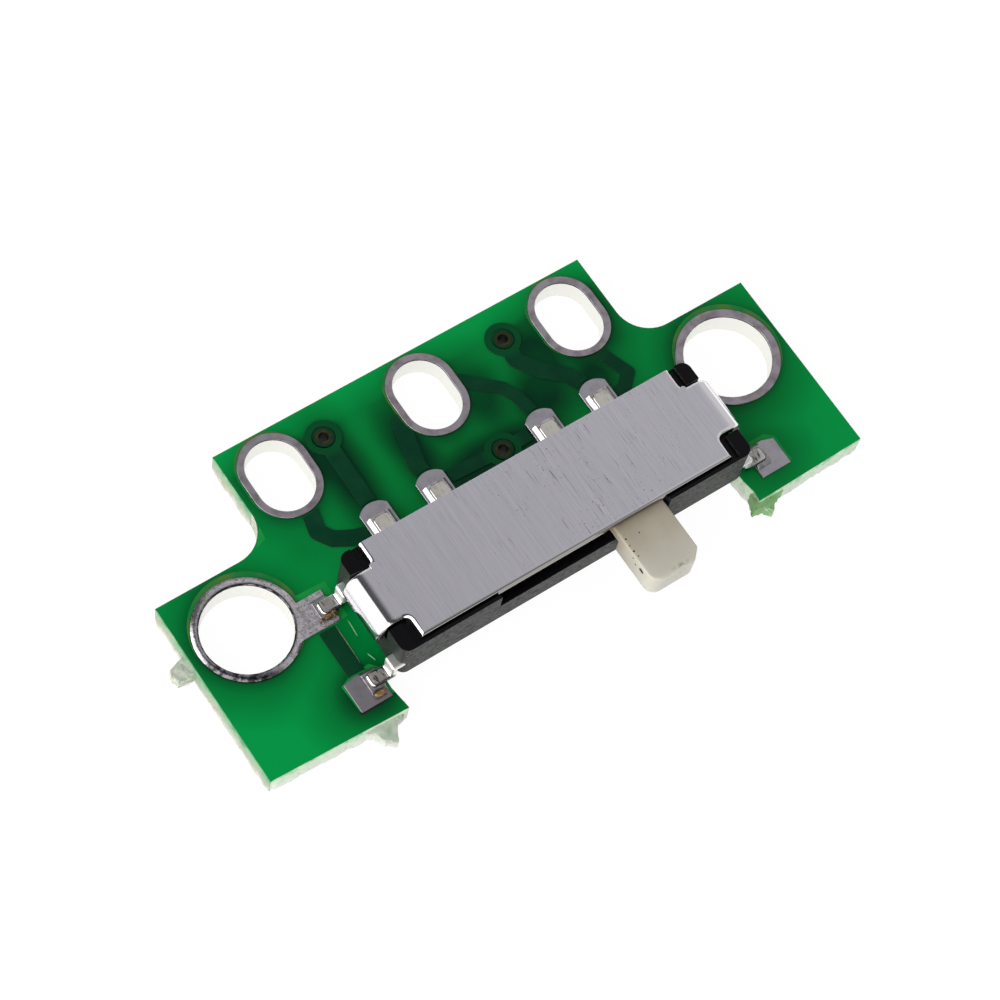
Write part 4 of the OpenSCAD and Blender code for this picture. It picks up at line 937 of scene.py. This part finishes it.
class SwitchLook(bpy.types.PropertyGroup):
    """Finish of the switch, its feet and its knob."""
    sheet: colour_of("Sheet", "#d9d6df", "Brushed cover")
    sheet_light: colour_of("Light sheet", "#e1dfe6", "Light brush lines")
    sheet_shade: colour_of("Shaded sheet", "#cfccd6", "Dark brush lines")
    # Painted highlight on the cover's bends and edges.
    sheet_bend_highlight: colour_of("Sheet bend", "#f6f4f8", "Polished bends and edges of the cover")
    sheet_cut: colour_of("Cut sheet", "#8f8b86", "Cut edge of the cover over the window")
    sheet_score: colour_of("Score", "#4a464c", "Deep lines and specks in the cover")
    moulding: colour_of("Moulding", "#060509", "Black base")
    # Painted reflection: the front wall's grey and pale streaks stand for the floor seen in the
    # black base.
    moulding_front_sheen: colour_of("Scuffed moulding", "#474948", "Front wall of the base")
    moulding_pale_sheen: colour_of("Pale moulding", "#797c76", "Pale streaks of the front wall")
    # Painted highlight: the bends of feet and terminals are near white; the feet's flat tops are
    # darker, and the foot streak also paints shade on a leg's near side.
    foot: colour_of("Foot", "#fdfbf9", "Bends of the feet")
    foot_top: colour_of("Foot top", "#aba7a3", "Flat tops of the feet")
    foot_streak: colour_of("Foot streak", "#2b282c", "Dark streaks on the feet")
    lead_streak: colour_of("Terminal streak", "#c9c5bd", "Streaks on the terminals")
    lead: colour_of("Terminal", "#f0eeea", "Bends of the terminals")
    lead_top: colour_of("Terminal top", "#e0dcd3", "Flat tops of the terminals")
    lead_solder: colour_of("Terminal solder", "#d6d2d6", "Solder beside the terminals")
    solder: colour_of("Solder", "#b9b5ba", "Solder at the feet")
    solder_shade: colour_of("Shaded solder", "#8b878a", "Grain of the solder")
    flux: colour_of("Flux", "#8c6a36", "Flux resin")
    flux_dark: colour_of("Dark flux", "#362718", "Thick flux resin")
    # Painted shade and light: the knob is darker beside the cover and lighter at its free end.
    nylon: colour_of("Nylon", "#c6c1b1", "Knob")
    nylon_light: colour_of("Light nylon", "#d3d0c4", "Knob's free end")
    nylon_shade: colour_of("Shaded nylon", "#ab9f89", "Knob beside the cover")
    nylon_dirt: colour_of("Dirt", "#2b241c", "Specks on the knob")
    bronze: colour_of("Bronze", "#c79a5a", "Contact wiper")
    steel: colour_of("Steel", "#c6c4c1", "Click spring")
    sheet_edge: length_of("Sheet edge", 0.03, "Rounding of the cover's cut edges")
    stamped_edge: length_of("Stamped edge", 0.1, "Rounding of the cover's ends and flap sides")
    moulding_edge: length_of("Moulding edge", 0.03, "Rounding of the base")
    foot_edge: length_of("Foot edge", 0.06, "Rounding of the legs")
    lead_edge: length_of("Terminal edge", 0.022, "Rounding of the terminals")
    solder_edge: length_of("Solder edge", 0.03, "Rounding of the solder")
    knob_edge: length_of("Knob edge", 0.05, "Rounding of the knob")


class StudioLook(bpy.types.PropertyGroup):
    """Camera and light."""
    lens: bpy.props.FloatProperty(name="Lens", description="Focal length on a 36 mm frame",
                                  default=108.0, subtype="DISTANCE_CAMERA", unit="CAMERA")
    side_light: bpy.props.FloatProperty(name="Side light", description="Power of the left softbox",
                                        default=0.0185, unit="POWER", precision=4)
    front_light: bpy.props.FloatProperty(name="Front light",
                                         description="Power of the weak fill in front",
                                         default=0.007, unit="POWER", precision=4)
    floor_shade: bpy.props.FloatProperty(name="Floor shade",
                                         description="How strongly the floor takes shadow",
                                         default=0.12, subtype="FACTOR", min=0.0, max=1.0)


# Pieces


class SWITCH_OT_studio(bpy.types.Operator):
    """Set the floor, the soft light and the camera at the photograph's angle"""
    bl_idname = "switch.studio"
    bl_label = "Studio"

    def execute(self, context):
        scene = context.scene
        look = scene.switch_studio
        scene.view_settings.view_transform = "Standard"
        self.floor(look)
        self.sky(scene)
        self.softbox("left_softbox", LEFT_SOFTBOX, look.side_light)
        self.softbox("front_fill", FRONT_FILL, look.front_light)
        self.camera(scene, look)
        return {"FINISHED"}

    def softbox(self, name, place, power):
        """A rectangular soft light at a place, turned to the part."""
        box = bpy.data.lights.new(name, "AREA")
        box.shape, box.energy = "RECTANGLE", power
        box.size, box.size_y = SOFTBOX_SIZE
        lamp = bpy.data.objects.new(name, box)
        lamp.location = place
        lamp.rotation_euler = (-Vector(place)).to_track_quat("-Z", "Y").to_euler()
        bpy.context.scene.collection.objects.link(lamp)

    def floor(self, look):
        """White paper that shows white with a faint shadow and gives back soft light."""
        shape = bmesh.new()
        bmesh.ops.create_grid(shape, x_segments=4, y_segments=4, size=FLOOR_HALF)
        mesh = bpy.data.meshes.new("floor")
        shape.to_mesh(mesh)
        shape.free()
        floor = bpy.data.objects.new("floor", mesh)
        floor.data.transform(Matrix.Translation((0, 0, -FLOOR_DROP)))
        bpy.context.scene.collection.objects.link(floor)
        material = bpy.data.materials.new("white_paper")
        material.use_nodes = True
        tree = material.node_tree
        tree.nodes.clear()
        ray = add(tree, "ShaderNodeLightPath").outputs
        seen = add(tree, "ShaderNodeMath", {"operation": "MAXIMUM"},
                   {0: ray["Is Camera Ray"], 1: ray["Is Glossy Ray"]})
        seen = add(tree, "ShaderNodeMath", {"operation": "MAXIMUM"},
                   {0: seen.outputs[0], 1: ray["Is Transmission Ray"]})
        paper = add(tree, "ShaderNodeBsdfDiffuse", {"Color": grey(PAPER_WHITE)})
        shade = add(tree, "ShaderNodeBsdfDiffuse", {"Color": grey(look.floor_shade)})
        white = add(tree, "ShaderNodeEmission",
                    {"Color": grey(1.0), "Strength": FLOOR_WHITE - look.floor_shade})
        clear = add(tree, "ShaderNodeAddShader", links={0: shade.outputs[0], 1: white.outputs[0]})
        both = add(tree, "ShaderNodeMixShader",
                   links={0: seen.outputs[0], 1: paper.outputs[0], 2: clear.outputs[0]})
        add(tree, "ShaderNodeOutputMaterial", links={0: both.outputs[0]})
        wear(floor, material)

    def sky(self, scene):
        """A wide soft light on the left, a dark gap beside it and a dim right side, so the flat
        cover shows grey and its left bend a dark band and then white."""
        world = bpy.data.worlds.new("studio")
        scene.world = world
        world.use_nodes = True
        tree = world.node_tree
        tree.nodes.clear()
        way = add(tree, "ShaderNodeSeparateXYZ",
                  links={0: add(tree, "ShaderNodeTexCoord").outputs["Generated"]})
        turn = add(tree, "ShaderNodeMath", {"operation": "MULTIPLY_ADD", 1: SKY_TURN},
                   {0: way.outputs[1], 2: way.outputs[0]})
        sweep = add(tree, "ShaderNodeMapRange", {1: -SKY_REACH, 2: SKY_REACH}, {0: turn.outputs[0]})
        stops = [(at, grey(strength)) for at, strength in SKY_STOPS]
        light = add(tree, "ShaderNodeValToRGB", {"stops": stops}, {0: sweep.outputs[0]})
        ray = add(tree, "ShaderNodeLightPath").outputs["Is Camera Ray"]
        seen = add(tree, "ShaderNodeMix", {"data_type": "RGBA", 7: grey(1.0)},
                   {0: ray, 6: light.outputs[0]})
        air = add(tree, "ShaderNodeBackground", links={"Color": seen.outputs[2]})
        add(tree, "ShaderNodeOutputWorld", links={0: air.outputs[0]})

    def camera(self, scene, look):
        """The camera at the place and turn solved from the photograph."""
        data = bpy.data.cameras.new("camera")
        data.sensor_width, data.lens = SENSOR_WIDTH, look.lens
        data.clip_start, data.clip_end = 0.001, 10.0
        camera = bpy.data.objects.new("camera", data)
        turn = Matrix((CAMERA_RIGHT, -CAMERA_DOWN, -CAMERA_AHEAD)).transposed().to_4x4()
        camera.matrix_world = Matrix.Translation(CAMERA_PLACE) @ turn
        scene.collection.objects.link(camera)
        scene.camera = camera


class SWITCH_OT_board(bpy.types.Operator):
    """Dress the laminate, its torn edges and the traces under the mask"""
    bl_idname = "switch.board"
    bl_label = "Board"

    def execute(self, context):
        look = context.scene.switch_board
        paint_node("circuit_board", solder_mask_on_laminate(look))
        paint_node("copper_traces", copper_under_mask(look))
        dull = (look.fibre_light, look.fibre, look.fibre_pale_green, look.fibre_green)
        # Painted light: the horns' strips are lighter, as light coming through the thin broken
        # laminate.
        bright = (look.fibre_white, look.fibre_mint, look.fibre_mint, look.fibre_lit_green)
        torn = torn_glass_fibre("torn_glass_fibre", BOARD_TOP + 0.3 * MM, look, dull)
        backlit_fibre = torn_glass_fibre("backlit_glass_fibre", BOARD_TOP + 0.35 * MM, look, bright)
        pale = torn_glass_fibre("pale_glass_fibre", BOARD_TOP + 0.6 * MM, look,
                                (look.fibre_white, look.fibre_light, look.fibre_pale_green,
                                 look.fibre_green))
        mossy = torn_glass_fibre("mossy_glass_fibre", BOARD_TOP + 0.4 * MM, look,
                                 (look.fibre_moss, look.fibre_moss, look.fibre_moss,
                                  look.fibre_green))
        for i, (name, (start, end, outward)) in enumerate(TORN_SIDES.items()):
            start, end = (Vector(p) * MM for p in (start, end))
            strip = torn_strip(start, end, outward, STRIP_LOW, BOARD_TOP, look.fibre_depth,
                               STRIP_SEED * i)
            place_piece(name, strip, backlit_fibre if "horn" in name else torn)
        for i, (name, outline) in enumerate(TORN_STUBS.items()):
            tag = torn_tag(outline, STUB_LOW, STUB_THICK, STUB_ROUGH,
                           STUB_SEED + STUB_SEED_STEP * i)
            place_piece(name, tag, mossy if name == "right_horn_tag" else pale)
        return {"FINISHED"}


class SWITCH_OT_plating(bpy.types.Operator):
    """Dress pads, rings, slots and vias, and show the mask's openings and scrapes round them"""
    bl_idname = "switch.plating"
    bl_label = "Plating"

    def execute(self, context):
        look = context.scene.switch_board
        pad_tin = tin_plating("satin_tin", look.tin, look.tin_shade, look, pit_size=0.3,
                              pit_depth=0.004, roughness=0.4)
        # Painted shade: a darker tin for the left front leg's pad.
        shaded_leg_tin = tin_plating("shaded_leg_pad_tin", look.shaded_leg_tin, look.leg_tin_shade, look, pit_size=0.2,
                              pit_depth=0.006, roughness=0.4)
        slot_tin = tin_plating("slot_tin", look.slot_tin, look.slot_tin_shade, look, pit_size=0.3,
                               pit_depth=0.01, roughness=0.34)
        lumpy_tin = tin_plating("lumpy_tin", look.ring_tin, look.ring_tin_shade, look,
                                pit_size=0.16, pit_depth=0.02, roughness=0.26, burr=True)
        for k in (1, 2, 3, 4):
            soften("terminal_pad_%d" % k, look.plating_edge, 2, pad_tin)
        for side, pad, ring in (("left", shaded_leg_tin, lumpy_tin), ("right", pad_tin, slot_tin)):
            soften("leg_pad_front_" + side, look.plating_edge, 2, pad)
            soften(side + "_post_ring", look.ring_edge, 3, ring)
        for side in ("left", "middle", "right"):
            soften("pin_slot_" + side, look.plating_edge, 2, slot_tin)
        copper = oxidised_copper(look)
        for node in ("via_left", "via_middle", "via_right"):
            paint_node(node, copper)
        self.openings(look)
        return {"FINISHED"}

    def openings(self, look):
        """Thin plates on the board's top: bare gaps, a painted shadow along a pad and scrapes."""
        gap = bare_laminate_gap("bare_laminate_gap", look.gap_green, look.gap_yellow)
        thin = bare_laminate_gap("thin_mask", look.thin_mask, look.thin_mask_lit)
        shift = look.opening_shift
        for name, side in (("left_ring_gap", -1), ("right_ring_gap", 1)):
            at = (side * POST_X, 0.0)
            ring = ring_gap((at[0] + SHIFT_SHARE * shift, shift), RING_R + RING_MARGIN,
                            BORE_R + RING_UNDER, at, BOARD_TOP, MASK_SKIN)
            place_piece(name, ring, gap)
        for name, k in (("left_slot_gap", -1), ("middle_slot_gap", 0), ("right_slot_gap", 1)):
            at = (k * SLOT_PITCH, SLOT_Y)
            ring = ring_gap((at[0] - SLOT_MARGIN, at[1] + SHIFT_SHARE * shift),
                            SLOT_HALF[0] + SLOT_MARGIN, SLOT_LINING, at, BOARD_TOP, MASK_SKIN,
                            2 * (SLOT_HALF[1] - SLOT_HALF[0]))
            place_piece(name, ring, gap)
        for name, outline in MASK_OPENINGS.items():
            place_piece(name, thin_plate(outline, BOARD_TOP, OPENING_THICK), thin)
        # Painted shadow: a dark strip along the left front pad's near edge.
        place_piece("pad_edge_shadow", thin_plate(PAD_SHADOW, BOARD_TOP, PAD_SHADOW_THICK),
                    soot_and_shadow_black("pad_edge_painted_shadow", look.tin_pits_and_shade))
        pale = scraped_mask(look)
        for name, (a, b, width) in SCRAPES.items():
            a, b = Vector(a), Vector(b)
            side = (b - a).normalized().orthogonal() * width / 2
            outline = [a, a.lerp(b, 0.3) + side, a.lerp(b, 0.8) + side, b, a.lerp(b, 0.7) - side,
                       a.lerp(b, 0.2) - side]
            place_piece(name, thin_plate([tuple(p) for p in outline], BOARD_TOP, SCRAPE_THICK),
                        pale)


class SWITCH_OT_feet(bpy.types.Operator):
    """Dress terminals, legs and solder, and add the flux beside the left feet"""
    bl_idname = "switch.feet"
    bl_label = "Feet and solder"

    def execute(self, context):
        look = context.scene.switch_body
        foot = tinned_brass("bright_tinned_brass", look.foot_top, look.foot, look.foot_streak,
                            roughness=0.1, leg=True)
        lead = tinned_brass("satin_tinned_brass", look.lead_top, look.lead, look.lead_streak,
                            roughness=0.28)
        bright = reflowed_solder("reflowed_solder", look.solder, look.solder_shade,
                                 roughness=0.38)
        satin = reflowed_solder("satin_solder", look.lead_solder, look.solder_shade,
                                roughness=0.3)
        for k in (1, 2, 3, 4):
            soften("terminal_%d" % k, look.lead_edge, 3, lead)
            soften("solder_terminal_%d" % k, look.lead_edge, 2, satin)
        for end in ("front", "back"):
            for side in ("left", "right"):
                soften("leg_%s_%s" % (end, side), look.foot_edge, 3, foot)
                soften("solder_%s_%s" % (end, side), look.solder_edge, 2, bright)
        resin = amber_flux(look)
        for name, (spots, seed) in FLUX_DROPS.items():
            place_piece(name, droplets(spots, seed), resin)
        return {"FINISHED"}


class SWITCH_OT_body(bpy.types.Operator):
    """Dress the moulded base, the formed cover and the springs inside"""
    bl_idname = "switch.body"
    bl_label = "Base and cover"

    def execute(self, context):
        look = context.scene.switch_body
        soften("switch_base", look.moulding_edge, 2, black_moulding(look))
        soften("switch_cover", look.sheet_edge, 3, brushed_cover_sheet(look),
               broad=(stamped_edge, look.stamped_edge))
        paint_node("contact_wiper",
                   rolled_spring_metal("rolled_bronze", look.bronze, linear("#8f6a38")))
        paint_node("detent_leaf",
                   rolled_spring_metal("rolled_spring_steel", look.steel, linear("#8b8986")))
        return {"FINISHED"}


class SWITCH_OT_slider(bpy.types.Operator):
    """Dress the knob and its carriage, with the dirt in its pits"""
    bl_idname = "switch.slider"
    bl_label = "Slider"

    def execute(self, context):
        look = context.scene.switch_body
        soften("slider", look.knob_edge, 3, ivory_nylon(look), "slider")
        pits = droplets(KNOB_PITS, KNOB_PIT_SEED)
        place_piece("knob_pits", pits, soot_and_shadow_black("pit_dirt", look.nylon_dirt),
                    "slider")
        return {"FINISHED"}


class SWITCH_PT_panel(bpy.types.Panel):
    bl_label = "Board slide switch"
    bl_idname = "SWITCH_PT_panel"
    bl_space_type = "VIEW_3D"
    bl_region_type = "UI"
    bl_category = "Switch"

    def draw(self, context):
        for operator in OPERATORS:
            self.layout.operator(operator.bl_idname)


OPERATORS = (SWITCH_OT_studio, SWITCH_OT_board, SWITCH_OT_plating, SWITCH_OT_feet, SWITCH_OT_body,
             SWITCH_OT_slider)
CLASSES = (BoardLook, SwitchLook, StudioLook, *OPERATORS, SWITCH_PT_panel)


def register():
    for cls in CLASSES:
        bpy.utils.register_class(cls)
    bpy.types.Scene.switch_board = bpy.props.PointerProperty(type=BoardLook)
    bpy.types.Scene.switch_body = bpy.props.PointerProperty(type=SwitchLook)
    bpy.types.Scene.switch_studio = bpy.props.PointerProperty(type=StudioLook)


def unregister():
    for name in ("switch_board", "switch_body", "switch_studio"):
        delattr(bpy.types.Scene, name)
    for cls in reversed(CLASSES):
        bpy.utils.unregister_class(cls)


def main():
    register()
    for operator in OPERATORS:
        group, name = operator.bl_idname.split(".")
        getattr(getattr(bpy.ops, group), name)()


if __name__ == "__main__":
    main()
